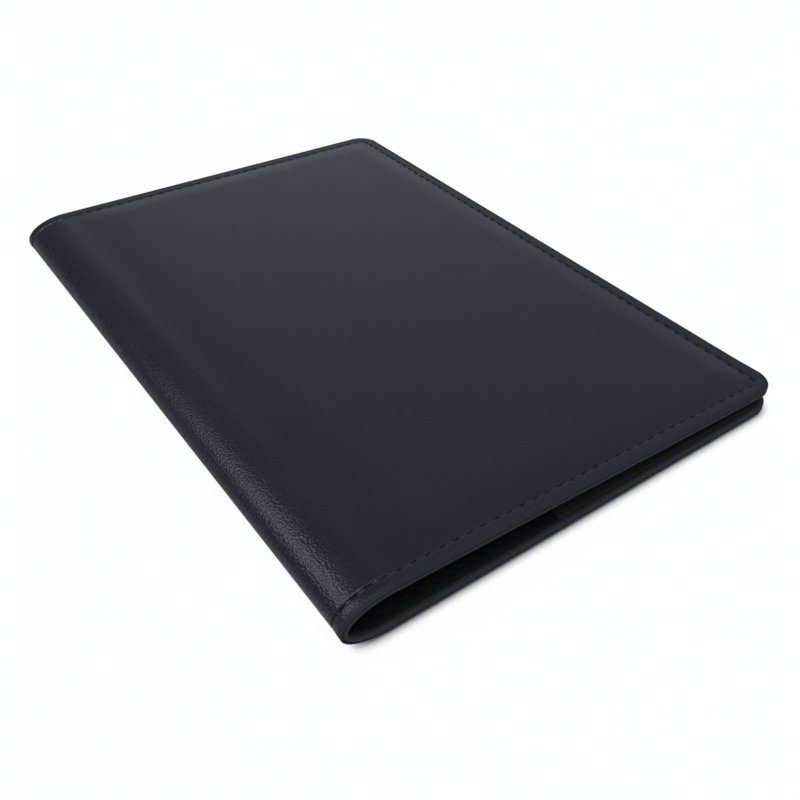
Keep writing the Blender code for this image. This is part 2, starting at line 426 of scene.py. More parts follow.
def read_all(items: Sequence, name: str, width: int = 1, kind: type = float) -> np.ndarray:
    """One property of every item of a mesh.

    Args:
        items: The mesh's vertices, loops or polygons.
        name: Name of the property.
        width: How many numbers it has.
        kind: Type of the numbers.

    Returns:
        A value for each item, or a row for each if it has more than one number.
    """
    values = np.empty(len(items) * width, kind)
    items.foreach_get(name, values)
    return values if width == 1 else values.reshape(-1, width)


def coordinates(obj: bpy.types.Object) -> np.ndarray:
    """Rows of the mesh's vertex positions."""
    return read_all(obj.data.vertices, "co", 3)


def set_coordinates(obj: bpy.types.Object, rows: np.ndarray) -> None:
    """Moves the mesh's vertices to these positions."""
    obj.data.vertices.foreach_set("co", rows.astype(np.float32).ravel())
    obj.data.update()


def set_attribute(obj: bpy.types.Object, name: str, values: np.ndarray) -> None:
    """Writes one number for each vertex."""
    made = obj.data.attributes.new(name, "FLOAT", "POINT")
    made.data.foreach_set("value", values.astype(np.float32))


def set_pattern(obj: bpy.types.Object, rows: np.ndarray) -> None:
    """Writes the flat pattern as UV map.

    Args:
        obj: The piece.
        rows: Place and Y, in metres, for each corner of each face.
    """
    layer = obj.data.uv_layers.active or obj.data.uv_layers.new()
    layer.name = UV_NAME
    layer.data.foreach_set("uv", rows.astype(np.float32).ravel())


def fold_up(obj: bpy.types.Object) -> bpy.types.Object:
    """Folds a flat piece round the section and shades it smooth.

    Args:
        obj: The flat piece.

    Returns:
        The same piece, in place.
    """
    set_coordinates(obj, SECTION.fold_points(coordinates(obj)))
    only(obj)
    bpy.ops.object.shade_smooth_by_angle(angle=SMOOTHED_UP_TO)
    return obj


@dataclass
class FlatCut:
    """A sheet that is cut flat: a grid on chosen lines, given its second face by an extrusion.

    Attributes:
        name: Name of the object.
        places: Lines along the section.
        alongs: Lines along Y.
        outer: Heights of the outer face.
        inner: Heights of the inner face.
        inset: Distance of the rim that rounds its corners from the holder's rim.
        wall: Rings of the rim between the faces, each a share of the thickness and how far it goes in.
    """

    name: str
    places: np.ndarray
    alongs: np.ndarray
    outer: Heights
    inner: Heights
    inset: float = 0.0
    wall: tuple[tuple[float, float], ...] = ()

    def cut(self) -> bpy.types.Object:
        """Makes the flat piece.

        Returns:
            The piece, with its flat pattern as UV map and its distance from the rim as attribute.
        """
        columns, rows = len(self.places) - 1, len(self.alongs) - 1
        bpy.ops.object.select_all(action="DESELECT")
        bpy.ops.mesh.primitive_grid_add(x_subdivisions=columns, y_subdivisions=rows, size=1)
        obj = bpy.context.object
        obj.name = obj.data.name = self.name
        levels = len(self.wall) + 1
        with editing(obj):
            for _ in range(levels):
                bpy.ops.mesh.extrude_region_move(TRANSFORM_OT_translate={"value": (0, 0, -1)})
        turn_faces_out(obj)
        raw = coordinates(obj)
        place = self.places[np.rint((raw[:, 0] + 0.5) * columns).astype(int)]
        along = self.alongs[np.rint((raw[:, 1] + 0.5) * rows).astype(int)]
        level = np.rint(-raw[:, 2]).astype(int)
        share, sunk = np.array([(0, 0), *self.wall, (1, 0)])[level].T
        turned_in = level == levels
        from_rim = np.minimum(SECTION.from_free_edge(place), SIZES.length / 2 - np.abs(along))
        at = FlatPlaces(*round_corners(place, along, self.inset, sunk), from_rim)
        height = self.outer(at) * (1 - share) + self.inner(at) * share
        set_coordinates(obj, np.column_stack([at.place, at.along, height]))
        self._map(obj, at, turned_in)
        set_attribute(obj, RIM_ATTRIBUTE, np.where(turned_in, INNER_FACE, from_rim / MM - share))
        return obj

    def _map(self, obj: bpy.types.Object, at: FlatPlaces, turned_in: np.ndarray) -> None:
        """Gives the piece its flat pattern, unrolled past each rim onto the inner face.

        Args:
            obj: The piece.
            at: Where its vertices lie.
            turned_in: Whether each is on the inner face.
        """
        mesh = obj.data
        corner = read_all(mesh.loops, "vertex_index", kind=int)
        count = read_all(mesh.polygons, "loop_total", kind=int)
        x, y, _ = np.repeat(read_all(mesh.polygons, "center", 3), count, axis=0).T
        low, high = self.places[0], self.places[-1]
        near, far = self.alongs[0], self.alongs[-1]
        side = np.column_stack([x - low, high - x, y - near, far - y]).argmin(axis=1)
        pattern = np.column_stack([at.place[corner], at.along[corner]])
        hem = SIZES.hem
        for number, (axis, edge, wrap) in enumerate(
            ((0, low, -hem), (0, high, hem), (1, near, -hem), (1, far, hem))
        ):
            unrolled = turned_in[corner] & (side == number)
            pattern[unrolled, axis] = 2 * edge + wrap - pattern[unrolled, axis]
        set_pattern(obj, pattern)


@dataclass(frozen=True)
class Stretch:
    """One stretch of the holder between two cuts, lying between two bodies.

    Attributes:
        number: Its number from the back leaf, which is that of the strip that it begins on.
        label: Name that its pieces carry.
        lower: Body on the back leaf's side; not used.
        upper: Body on the front leaf's side; not used.
        low_cut: Place where the stretch begins, or None at the free edge.
        high_cut: Place where it ends, or None at the free edge.
    """

    number: int
    label: str
    lower: str
    upper: str
    low_cut: float | None
    high_cut: float | None

    # Deepest point of a cut face, how far a turn runs into a leaf, and how far it keeps from a cut face
    DEEPEST = 2.2 * MM
    RUN_IN = 3 * MM
    MARGIN = 0.02 * MM

    def holds(self, place: float) -> bool:
        """Whether a place lies in this stretch."""
        above = self.low_cut is None or place >= self.low_cut
        return above and (self.high_cut is None or place < self.high_cut)

    def solids(self, on_leaf: str, *on_strip: str) -> list[str]:
        """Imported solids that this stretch's piece stands for.

        Args:
            on_leaf: End of the name of a leaf's own solid.
            on_strip: Beginnings of the names of a strip's solids.

        Returns:
            The solids of the body that the stretch begins on, and of the front leaf if it ends there.
        """
        if self.low_cut is None:
            return [f"back_{on_leaf}"]
        names = [f"{kind}_{self.number}" for kind in on_strip]
        return names if self.high_cut is not None else [*names, f"front_{on_leaf}"]

    def turning(self) -> tuple[Vector, Vector]:
        """Where the turn from the lower body to the upper one begins and ends.

        Returns:
            The two points, between which a cut face lies wholly outside.
        """
        if self.low_cut is None:
            heading, end = SECTION.heading(self.high_cut), SECTION.point(self.high_cut)
            first = SECTION.point(SECTION.back_root - self.RUN_IN)
            return end - heading * heading.dot(end - first), end
        if self.high_cut is None:
            heading, start = SECTION.heading(self.low_cut), SECTION.point(self.low_cut)
            last = SECTION.point(SECTION.front_root + self.RUN_IN)
            return start, start + heading * heading.dot(last - start)
        start, end = SECTION.point(self.low_cut), SECTION.point(self.high_cut)
        heading = (end - start).normalized()
        deep_start = SECTION.point(self.low_cut, -self.DEEPEST)
        deep_end = SECTION.point(self.high_cut, -self.DEEPEST)
        begin = max(0.0, heading.dot(deep_start - start)) + self.MARGIN
        stop = max(0.0, heading.dot(end - deep_end)) + self.MARGIN
        return start + heading * begin, end - heading * stop

    def turn(self, obj: bpy.types.Object) -> None:
        """Bakes a finished piece's placement into its mesh; the turn's two points are found but not
        used.
        """
        start, end = self.turning()
        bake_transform(obj)


def fold_stretches() -> list[Stretch]:
    """Cuts the holder at the middles of the fold's four strips.

    Returns:
        Its five stretches.
    """
    turning = SIZES.turning_angle
    lines = (-math.pi / 2, -turning, 0.0, turning, SECTION.top_angle)
    cuts = [SECTION.place_of_angle((low + high) / 2) for low, high in zip(lines, lines[1:])]
    bodies = ["back_cover", *(f"fold_strip_{number}" for number in range(1, 5)), "front_cover"]
    labels = ["back", "fold_lower", "fold_nose", "fold_upper", "front"]
    parts = zip(range(5), labels, bodies, bodies[1:], [None, *cuts], [*cuts, None])
    return [Stretch(*part) for part in parts]


STRETCHES = fold_stretches()


def fold_lines(spacing: float) -> list[float]:
    """Lines of a mesh over the fold: one on each cut, and others that keep clear of the cuts.

    Args:
        spacing: Largest distance between two lines.

    Returns:
        Their places.
    """
    cuts = [stretch.high_cut for stretch in STRETCHES[:-1]]
    fold = stepped(SECTION.back_root, SECTION.front_root, spacing)
    return cuts + [p for p in fold if min(abs(p - cut) for cut in cuts) > LINES_FROM_CUT]


def cut_into_stretches(whole: bpy.types.Object, kind: str) -> list[bpy.types.Object]:
    """Cuts a flat piece that crosses the fold into one closed piece for each stretch.

    Args:
        whole: The flat piece, which is used up.
        kind: What the pieces are, as the end of their names.

    Returns:
        The flat pieces, in the order of the stretches.
    """
    pieces = []
    for stretch in STRETCHES:
        only(whole)
        bpy.ops.object.duplicate()
        piece = bpy.context.object
        piece.name = piece.data.name = f"{stretch.label}_{kind}"
        with editing(piece):
            for cut, keep_above in ((stretch.low_cut, True), (stretch.high_cut, False)):
                if cut is None:
                    continue
                bpy.ops.mesh.select_all(action="SELECT")
                bpy.ops.mesh.bisect(
                    plane_co=(cut, 0, 0), plane_no=(1, 0, 0), use_fill=True,
                    clear_inner=keep_above, clear_outer=not keep_above, threshold=CUT_TOLERANCE,
                )
        turn_faces_out(piece)
        pieces.append(piece)
    bpy.data.objects.remove(whole, do_unlink=True)
    return pieces


class Wire:
    """An output of a shader node. Arithmetic on it adds Math nodes."""

    def __init__(self, tree: "ShaderTree", socket: bpy.types.NodeSocket) -> None:
        """Wraps a socket.

        Args:
            tree: The tree that holds the socket.
            socket: The output.
        """
        self.tree = tree
        self.socket = socket

    def _math(self, operation: str, first: "Number", second: "Number") -> "Wire":
        """Adds one Math node."""
        return self.tree.node("ShaderNodeMath", {"operation": operation}, {0: first, 1: second})

    def __add__(self, other: "Number") -> "Wire":
        """Sum."""
        return self._math("ADD", self, other)

    __radd__ = __add__

    def __sub__(self, other: "Number") -> "Wire":
        """Difference."""
        return self._math("SUBTRACT", self, other)

    def __rsub__(self, other: "Number") -> "Wire":
        """Difference from a number."""
        return self._math("SUBTRACT", other, self)

    def __mul__(self, other: "Number") -> "Wire":
        """Product."""
        return self._math("MULTIPLY", self, other)

    __rmul__ = __mul__

    def __truediv__(self, other: "Number") -> "Wire":
        """Quotient."""
        return self._math("DIVIDE", self, other)

    def __pow__(self, other: "Number") -> "Wire":
        """Power."""
        return self._math("POWER", self, other)

    def __abs__(self) -> "Wire":
        """Absolute value."""
        return self._math("ABSOLUTE", self, 0.0)

    def swing(self) -> "Wire":
        """Straight rise from 0 to a half and back, once in every whole number."""
        return self._math("PINGPONG", self, 0.5)

    def ramp(self, low: float, high: float) -> "Wire":
        """Smooth share from 0 at low to 1 at high, which may be the lower of the two."""
        span = {"Value": self, 1: low, 2: high}
        return self.tree.node("ShaderNodeMapRange", {"interpolation_type": "SMOOTHSTEP"}, span)

    def straight(self, low: float, high: float) -> "Wire":
        """Straight share from 0 at low to 1 at high."""
        return self.tree.node("ShaderNodeMapRange", {}, {"Value": self, 1: low, 2: high})

    def ridge(self, centre: float, half_width: float) -> "Wire":
        """1 at a centre, falling smoothly to 0 at half a width to each side."""
        return abs(self - centre).ramp(half_width, 0.0)

    def beside(self, output: int | str) -> "Wire":
        """Another output of the same node."""
        return Wire(self.tree, self.socket.node.outputs[output])


Number = Wire | float
Colour = tuple[float, float, float]
Span = tuple[float, float]


@dataclass(frozen=True)
class Noise:
    """Settings of a noise pattern, with its scale in cycles for each unit of its vector."""

    scale: float
    detail: float = 2
    roughness: float = 0.5


class ShaderTree:
    """The node tree of a new material or world, with its first shader on its output."""

    def __init__(self, name: str, kind: str = "materials") -> None:
        """Starts the material or world.

        Args:
            name: Name of the material or world.
            kind: Collection of bpy.data that it goes to, materials or worlds.
        """
        self.made = getattr(bpy.data, kind).new(name)
        self.made.use_nodes = True
        self.nodes = self.made.node_tree.nodes
        self.links = self.made.node_tree.links
        self.shader = self.nodes["Principled BSDF" if kind == "materials" else "Background"]

    def node(self, kind: str, settings: dict, sockets: dict, output: int | str = 0) -> Wire:
        """Adds any node.

        Args:
            kind: Blender's name of the node's type.
            settings: Properties, which are set first.
            sockets: Values or wires of its inputs.
            output: Which output to return.

        Returns:
            That output.
        """
        made = self.nodes.new(kind)
        for name, value in settings.items():
            setattr(made, name, value)
        for key, value in sockets.items():
            self.feed(made.inputs[key], value)
        return Wire(self, made.outputs[output])

    def feed(self, socket: bpy.types.NodeSocket, value: Wire | float | tuple) -> None:
        """Links a wire to an input, or sets its value.

        Args:
            socket: The input.
            value: The wire, or the number, colour or vector.
        """
        if isinstance(value, Wire):
            self.links.new(value.socket, socket)
        else:
            socket.default_value = value

    def shade(self, **values: Wire | float | tuple) -> None:
        """Sets inputs of the first shader, named with _ for each space."""
        for name, value in values.items():
            self.feed(self.shader.inputs[name.replace("_", " ")], value)

    def in_millimetres(self, vector: Wire) -> Wire:
        """A vector in millimetres from one in metres."""
        return self.node("ShaderNodeVectorMath", {"operation": "SCALE"}, {0: vector, "Scale": 1 / MM})

    def cut_map(self) -> Wire:
        """The flat pattern in millimetres."""
        return self.in_millimetres(self.node("ShaderNodeUVMap", {"uv_map": UV_NAME}, {}))

    def position(self, output: str) -> Wire:
        """One of Blender's texture coordinates."""
        return self.node("ShaderNodeTexCoord", {}, {}, output=output)

    def axes(self, vector: Wire) -> tuple[Wire, Wire, Wire]:
        """The three parts of a vector."""
        first = self.node("ShaderNodeSeparateXYZ", {}, {0: vector})
        return first, first.beside(1), first.beside(2)

    def attribute(self, name: str) -> Wire:
        """A number stored on the mesh."""
        return self.node("ShaderNodeAttribute", {"attribute_name": name}, {}, output="Fac")

    def noise(self, vector: Wire, noise: Noise) -> Wire:
        """Noise from 0 to 1."""
        inputs = {"Scale": noise.scale, "Detail": noise.detail, "Roughness": noise.roughness}
        return self.node("ShaderNodeTexNoise", {}, {"Vector": vector, **inputs})

    def shades(self, share: Wire, dark: Colour, light: Colour) -> Wire:
        """Colour between two shades."""
        colours = {0: share, 6: (*dark, 1), 7: (*light, 1)}
        return self.node("ShaderNodeMix", {"data_type": "RGBA"}, colours, output=2)

    def bump(self, height: Wire, distance: float) -> Wire:
        """Normal of a height from 0 to 1 that is this many metres tall."""
        return self.node("ShaderNodeBump", {}, {"Height": height, "Distance": distance, "Strength": 1.0})

    def background_rays(self) -> tuple[Wire, Wire]:
        """1 for rays from the camera or through glass, and 1 for mirrored rays."""
        seen = self.node("ShaderNodeLightPath", {}, {}, output="Is Camera Ray")
        return seen + seen.beside("Is Transmission Ray"), seen.beside("Is Glossy Ray")


@dataclass(frozen=True)
class Finish:
    """A material whose colour lies between a dark and a light shade."""

    name: str
    dark: Colour
    light: Colour

    def material(self) -> bpy.types.Material:
        """Builds the material.

        Returns:
            The material.
        """
        tree = ShaderTree(self.name)
        self.paint(tree)
        return tree.made

    def paint(self, tree: ShaderTree) -> None:
        """Adds the finish's own nodes to its tree."""
        raise NotImplementedError


@dataclass(frozen=True)
class LeatherFinish(Finish):
    """Smooth calf-look leather with a fine pebble grain that opens where it bends."""

    roughness: float

    # Size of a pebble in millimetres, height of the grain on the flat and on the fold, specular level
    pebble: float = 0.52
    grain: float = 0.006 * MM
    fold_grain: float = 0.046 * MM
    shine: float = 0.4

    # Where the fold's grain and the edge dressing end and are full, in millimetres from the fold's nose
    # and from the rim
    fold_reach: Span = (15.0, 8.0)
    dressed_reach: Span = (1.5, 0.5)

    # Dimples at the needle holes, whose colour is darkened as painted shade: half their width in
    # millimetres, and where one ends and is full, in stitches from the middle of a stitch
    hole_width: float = 0.5
    hole_reach: Span = (0.12, 0.26)

    # Patterns over the flat cut, in cycles for each millimetre
    WANDER = Noise(0.9)
    PORES = Noise(4.5, detail=3, roughness=0.6)
    CLOUDS = Noise(0.045, detail=3)
    DRESSING = Noise(0.35, detail=3)

    # Pebbles: how uneven and soft they are, where one ends and is highest, and the factor of its height,
    # at least and what a slow noise adds to it
    UNEVEN = 0.95
    SOFT = 0.25
    PEBBLE_SPAN = (0.75, 0.05)
    LEAST_FACTOR, ADDED_FACTOR = 0.6, 0.8

    # Shares that pebbles and pores have in the height, and the depth of a dimple against theirs
    PEBBLE_HEIGHT = 0.75
    PORE_HEIGHT = 0.35
    HOLE_DEPTH = 1.2

    # Middle shade, the shares that clouds and pebbles add to it, and what clouds, dimples and bends
    # add to the roughness
    MIDDLE_SHADE = 0.25
    CLOUD_SHADE = 0.4
    PEBBLE_SHADE = 0.35
    CLOUD_ROUGHNESS = 0.1
    HOLE_ROUGHNESS = 0.2
    FOLD_ROUGHNESS = 0.05
    DRESSED_ROUGHNESS = (0.25, 0.2)

    def paint(self, tree: ShaderTree) -> None:
        """Adds the grain, the needle holes and the painted shade in them, the clouded shade and the
        dressed edge.

        Args:
            tree: The material's tree.
        """
        flat = tree.cut_map()
        place, _, _ = tree.axes(flat)
        voronoi = {"feature": "SMOOTH_F1", "voronoi_dimensions": "2D"}
        cells = {"Vector": flat, "Scale": 1 / self.pebble}
        cells |= {"Randomness": self.UNEVEN, "Smoothness": self.SOFT}
        pebbles = tree.node("ShaderNodeTexVoronoi", voronoi, cells).ramp(*self.PEBBLE_SPAN)
        pebbles = pebbles * (self.LEAST_FACTOR + self.ADDED_FACTOR * tree.noise(flat, self.WANDER))
        pores = tree.noise(flat, self.PORES)
        on_fold = abs(place).ramp(*self.fold_reach)
        least = self.grain / self.fold_grain
        opened = least + on_fold * (1 - least)
        skin = (pebbles * self.PEBBLE_HEIGHT + pores * self.PORE_HEIGHT) * opened
        from_rim = tree.attribute(RIM_ATTRIBUTE)
        # Needle-hole dimples: they sink the height, roughen the leather and darken its colour, which is
        # painted shade
        dimple_and_shade = from_rim.ridge(SIZES.stitch_inset / MM, self.hole_width)
        dimple_and_shade = dimple_and_shade * tree.attribute(PHASE_ATTRIBUTE).swing().ramp(*self.hole_reach)
        clouds = tree.noise(flat, self.CLOUDS)
        base, varied = self.DRESSED_ROUGHNESS
        dressed = from_rim.ramp(*self.dressed_reach) * (base + varied * tree.noise(flat, self.DRESSING))
        shade = self.MIDDLE_SHADE + self.CLOUD_SHADE * clouds + self.PEBBLE_SHADE * pebbles
        rough = self.roughness + self.CLOUD_ROUGHNESS * (clouds - 0.5) + self.HOLE_ROUGHNESS * dimple_and_shade
        tree.shade(
            Base_Color=tree.shades(shade * (1 - dimple_and_shade), self.dark, self.light),
            Roughness=rough - self.FOLD_ROUGHNESS * on_fold + dressed,
            Normal=tree.bump(skin - dimple_and_shade * self.HOLE_DEPTH, self.fold_grain),
            Specular_IOR_Level=self.shine,
            IOR=1.5,
        )


@dataclass(frozen=True)
class ThreadFinish(Finish):
    """Bonded sewing thread, with the width of a ply in millimetres and its height in metres."""

    roughness: float = 0.5
    ply: float = 0.32
    height: float = 0.05 * MM

    FIBRES = Noise(12.0)

    # Shares of plies and fibres in the shade, and of fibres in the roughness and the height
    PLY_SHADE, FIBRE_SHADE = 0.6, 0.4
    FIBRE_ROUGHNESS, FIBRE_HEIGHT = 0.15, 0.3

    def paint(self, tree: ShaderTree) -> None:
        """Adds the slanting plies and their fibres.

        Args:
            tree: The material's tree.
        """
        flat = tree.cut_map()
        place, along, _ = tree.axes(flat)
        ply = ((place + along) / self.ply).swing().ramp(0.0, 0.5)
        fibres = tree.noise(flat, self.FIBRES)
        tree.shade(
            Base_Color=tree.shades(
                self.PLY_SHADE * ply + self.FIBRE_SHADE * fibres, self.dark, self.light,
            ),
            Roughness=self.roughness + self.FIBRE_ROUGHNESS * (fibres - 0.5),
            Normal=tree.bump(ply + self.FIBRE_HEIGHT * fibres, self.height),
            Specular_IOR_Level=0.3,
        )


@dataclass(frozen=True)
class ClothFinish(Finish):
    """Plain-woven lining cloth, with the width of a yarn in millimetres and its height in metres."""

    roughness: float = 0.8
    yarn: float = 0.28
    height: float = 0.05 * MM

    SLUB = Noise(0.8, detail=3)
    ROUNDNESS = 0.7

    # Shares of the two sets of yarns in the weave, of weave and slubs in the shade, and of slubs in the
    # roughness and the height
    UNDER, OVER = 0.7, 0.3
    WEAVE_SHADE, SLUB_SHADE = 0.55, 0.45
    SLUB_ROUGHNESS, SLUB_HEIGHT = 0.12, 0.3

    def paint(self, tree: ShaderTree) -> None:
        """Adds the weave and its slubs.

        Args:
            tree: The material's tree.
        """
        flat = tree.cut_map()
        place, along, _ = tree.axes(flat)
        under = self._yarns(place, 0.0) * self._yarns(along, 0.0)
        over = self._yarns(place, 0.5) * self._yarns(along, 0.5)
        weave = under * self.UNDER + over * self.OVER
        slub = tree.noise(flat, self.SLUB)
        tree.shade(
            Base_Color=tree.shades(
                self.WEAVE_SHADE * weave + self.SLUB_SHADE * slub, self.dark, self.light,
            ),
            Roughness=self.roughness + self.SLUB_ROUGHNESS * (slub - 0.5),
            Normal=tree.bump(weave + self.SLUB_HEIGHT * slub, self.height),
            Specular_IOR_Level=0.2,
        )

    def _yarns(self, across: Wire, shift: float) -> Wire:
        """Round yarns side by side."""
        return (2 * (across / self.yarn + shift).swing()) ** self.ROUNDNESS


@dataclass(frozen=True)
class FoamFinish(Finish):
    """Fine open-celled padding foam, with its cells for each millimetre and their depth in metres."""

    cells: float = 3.2
    depth: float = 0.08 * MM

    CLOUDS = Noise(0.2, detail=3)

    # Where a cell's shade begins and ends, and the shares of cells and clouds in the shade
    CELL_SPAN = (0.1, 0.6)
    CELL_SHADE, CLOUD_SHADE = 0.7, 0.3

    def paint(self, tree: ShaderTree) -> None:
        """Adds the cells.

        Args:
            tree: The material's tree.
        """
        flat = tree.cut_map()
        cells = tree.node("ShaderNodeTexVoronoi", {}, {"Vector": flat, "Scale": self.cells})
        clouds = tree.noise(flat, self.CLOUDS)
        shade = cells.ramp(*self.CELL_SPAN) * self.CELL_SHADE + self.CLOUD_SHADE * clouds
        tree.shade(
            Base_Color=tree.shades(shade, self.dark, self.light),
            Roughness=0.9 + 0.06 * (clouds - 0.5),
            Normal=tree.bump(cells, self.depth),
        )


@dataclass(frozen=True)
class BoardFinish(Finish):
    """Grey bookbinder's board, with fibres pressed into it to a depth in metres."""

    depth: float = 0.03 * MM

    FIBRES = Noise(1.4, detail=4, roughness=0.65)
    SPECKS = Noise(0.5)

    # Where a speck begins and is full, and how much darker it is
    SPECK_SPAN = (0.62, 0.75)
    SPECK_SHADE = 0.4

    def paint(self, tree: ShaderTree) -> None:
        """Adds the fibres and dark specks.

        Args:
            tree: The material's tree.
        """
        millimetres = tree.in_millimetres(tree.position("Object"))
        fibres = tree.noise(millimetres, self.FIBRES)
        specks = tree.noise(millimetres, self.SPECKS).ramp(*self.SPECK_SPAN)
        tree.shade(
            Base_Color=tree.shades(fibres - self.SPECK_SHADE * specks, self.dark, self.light),
            Roughness=0.82 + 0.1 * (fibres - 0.5),
            Normal=tree.bump(fibres, self.depth),
        )


def dress(obj: bpy.types.Object, material: bpy.types.Material) -> bpy.types.Object:
    """Gives a piece its only material.

    Args:
        obj: The piece.
        material: Its material.

    Returns:
        The piece.
    """
    obj.data.materials.clear()
    obj.data.materials.append(material)
    log.info("%s: %d vertices, %s", obj.name, len(obj.data.vertices), material.name)
    return obj


def pillow(distance: np.ndarray) -> np.ndarray:
    """Share of the padding's height at a distance from the holder's rim."""
    share = np.clip((distance - SIZES.padding_start) / SIZES.padding_roll, 0, 1)
    return 1 - (1 - share) ** 2


def crown_height(at: FlatPlaces) -> np.ndarray:
    """How far the leather stands proud over the padding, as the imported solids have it.

    Args:
        at: Where the vertices lie.

    Returns:
        Their heights, without the waves.
    """
    from_side = SIZES.length / 2 - np.abs(at.along)
    run_out = smooth_share(SECTION.from_fold(at.place), 0, SIZES.fold_run_out)
    return SIZES.crown * pillow(SECTION.from_free_edge(at.place)) * pillow(from_side) * run_out


@dataclass
class LeatherSkin:
    """The outer leather: one skin over both leaves and the fold, turned in at its rim."""

    # Rim: roundness at the near end, and at the free edge and the far end, where it is rolled down. Then
    # the distances from the near end between which it begins to roll
    rim_radius: float = 0.18 * MM
    rolled_radius: float = 0.55 * MM
    rolled_reach: Span = (2 * MM, 12 * MM)

    # How far the border rises from the seam to the rim, roundness of the rim's inner corner, and the
    # rim's edge, with the line between the two thicknesses of leather
    rim_rise: float = 0.14 * MM
    lip_radius: float = 0.3 * MM
    rim_wall: tuple[Span, ...] = (
        (0.1, 0.0), (0.17, 0.03 * MM), (0.22, 0.36 * MM),
        (0.34, 0.36 * MM), (0.4, 0.04 * MM), (0.5, 0.0),
    )

    # Line that is pressed beside the rim: its distance from the rim, its width and its depth
    crease_at: float = 0.48 * MM
    crease_width: float = 0.44 * MM
    crease_depth: float = 0.08 * MM

    # Valley that the seam pulls: half its width, its depth on the leaves and across the fold, and the
    # distances from the fold's nose where the deeper part begins and ends
    groove_width: float = 0.42 * MM
    groove_depth: float = 0.055 * MM
    fold_groove_depth: float = 0.4 * MM
    fold_reach: Span = (8 * MM, 14 * MM)

    # Height of the slow waves over the padding, and the largest distances between lines of the mesh
    unevenness: float = 0.03 * MM
    spacing: float = 1.3 * MM
    fold_spacing: float = 0.22 * MM
    finish: LeatherFinish = LeatherFinish(
        "outer_leather", (0.003, 0.0045, 0.0085), (0.0085, 0.0115, 0.019), 0.4,
    )

    # How many lines of the mesh each form of the border has, and lines that fill the corner and the gap
    ROUND_LINES = 7
    CREASE_LINES = 5
    SEAM_LINES = 11
    ROLL_LINES = 13
    RUN_OUT_LINES = 12
    CORNER_SHARES = np.linspace(0.5, 0.95, 7)
    FILL = (1.5 * MM, 2 * MM)

    # Slow waves, in millimetres for each radian: across, along, of the bend and of the slanting wave.
    # Then how far the waves across bend, where those along begin, and how steep the slanting one is
    WAVE_ACROSS, WAVE_ALONG, WAVE_BEND, WAVE_SLANT = 7.3, 9.1, 19, 23
    BEND, SHIFT, SLANT = 1.1, 0.7, 1.7

    def border_lines(self) -> np.ndarray:
        """Lines of the mesh over the round rim, the crease, the seam, the hem and the padding.

        Returns:
            Their distances from the rim.
        """
        turn = np.linspace(0, math.pi / 2, self.ROUND_LINES)
        rounds = np.outer([self.rim_radius, self.rolled_radius], 1 - np.cos(turn)).ravel()
        crease = self.crease_at + self.crease_width / 2 * np.linspace(-1, 1, self.CREASE_LINES)
        seam = SIZES.stitch_inset + self.groove_width * np.linspace(-1, 1, self.SEAM_LINES)
        hem = [SIZES.hem_width, SIZES.hem_width + SIZES.hem_step, SIZES.padding_inset]
        roll = SIZES.padding_start + SIZES.padding_roll * np.linspace(0, 1, self.ROLL_LINES)
        corner = self.CORNER_SHARES * SIZES.corner_radius
        return merged(rounds, crease, seam, hem, roll, corner, self.FILL, apart=FINE_LINES_APART)

    def leaf_lines(self, root: float, free_edge: float, border: np.ndarray) -> np.ndarray:
        """Places of the mesh's lines over one leaf.

        Args:
            root: Place where the leaf meets the fold.
            free_edge: Place of its free edge.
            border: Distances of the border's lines from the rim.

        Returns:
            The places, in any order.
        """
        out = math.copysign(1, free_edge - root)
        beside = [SIZES.fold_reinforcement, SIZES.fold_reinforcement + SIZES.hem_step]
        run_out = np.concatenate([beside, np.linspace(0, SIZES.fold_run_out, self.RUN_OUT_LINES)])
        flat = sorted([root + out * SIZES.fold_run_out, free_edge - out * border[-1]])
        middle = stepped(*flat, self.spacing)
        return np.concatenate([root + out * run_out, free_edge - out * border, middle])

    def seam_depth(self, place: np.ndarray) -> np.ndarray:
        """Depth of the seam's valley, which is deeper where the leather bends round the fold."""
        on_fold = 1 - smooth_share(np.abs(place), *self.fold_reach)
        return self.groove_depth + (self.fold_groove_depth - self.groove_depth) * on_fold

    def waves(self, at: FlatPlaces) -> np.ndarray:
        """Slow waves over the padding.

        Args:
            at: Where the vertices lie.

        Returns:
            Their heights, from -2 to 2.
        """
        x, y = at.place / MM, at.along / MM
        bent = np.sin(x / self.WAVE_ACROSS + self.BEND * np.sin(y / self.WAVE_BEND))
        slanting = np.sin((x - self.SLANT * y) / self.WAVE_SLANT)
        return bent * np.sin(y / self.WAVE_ALONG + self.SHIFT) + slanting

    def outer_height(self, at: FlatPlaces) -> np.ndarray:
        """Outer face: round rim, pressed crease, seam valley, and waves over the padding.

        Args:
            at: Where the vertices lie.

        Returns:
            Their heights.
        """
        near_end = -SIZES.length / 2
        rolled = smooth_share(at.along, *(near_end + reach for reach in self.rolled_reach))
        drop = rounding(at.from_rim, self.rim_radius + (self.rolled_radius - self.rim_radius) * rolled)
        pressed = self.crease_depth * soft_ridge(at.from_rim, self.crease_at, self.crease_width / 2)
        valley = soft_ridge(at.from_rim, SIZES.stitch_inset, self.groove_width)
        pulled = self.seam_depth(at.place) * valley
        risen = self.rim_rise * np.clip(1 - at.from_rim / SIZES.stitch_inset, 0, 1)
        crown = crown_height(at)
        wavy = self.unevenness * self.waves(at) * crown / SIZES.crown / 2
        return crown + risen - drop - pressed - pulled + wavy

    def inner_height(self, at: FlatPlaces) -> np.ndarray:
        """Inner face: two thicknesses of leather at the hem and along the fold, and one elsewhere.

        Args:
            at: Where the vertices lie.

        Returns:
            Their heights.
        """
        turned_in = at.from_rim < SIZES.hem_width + SIZES.hem_step / 2
        beside_fold = SECTION.from_fold(at.place) < SIZES.fold_reinforcement + SIZES.hem_step / 2
        lift = rounding(at.from_rim, self.lip_radius)
        return np.where(turned_in | beside_fold, lift - SIZES.hem, crown_height(at) - SIZES.leather)

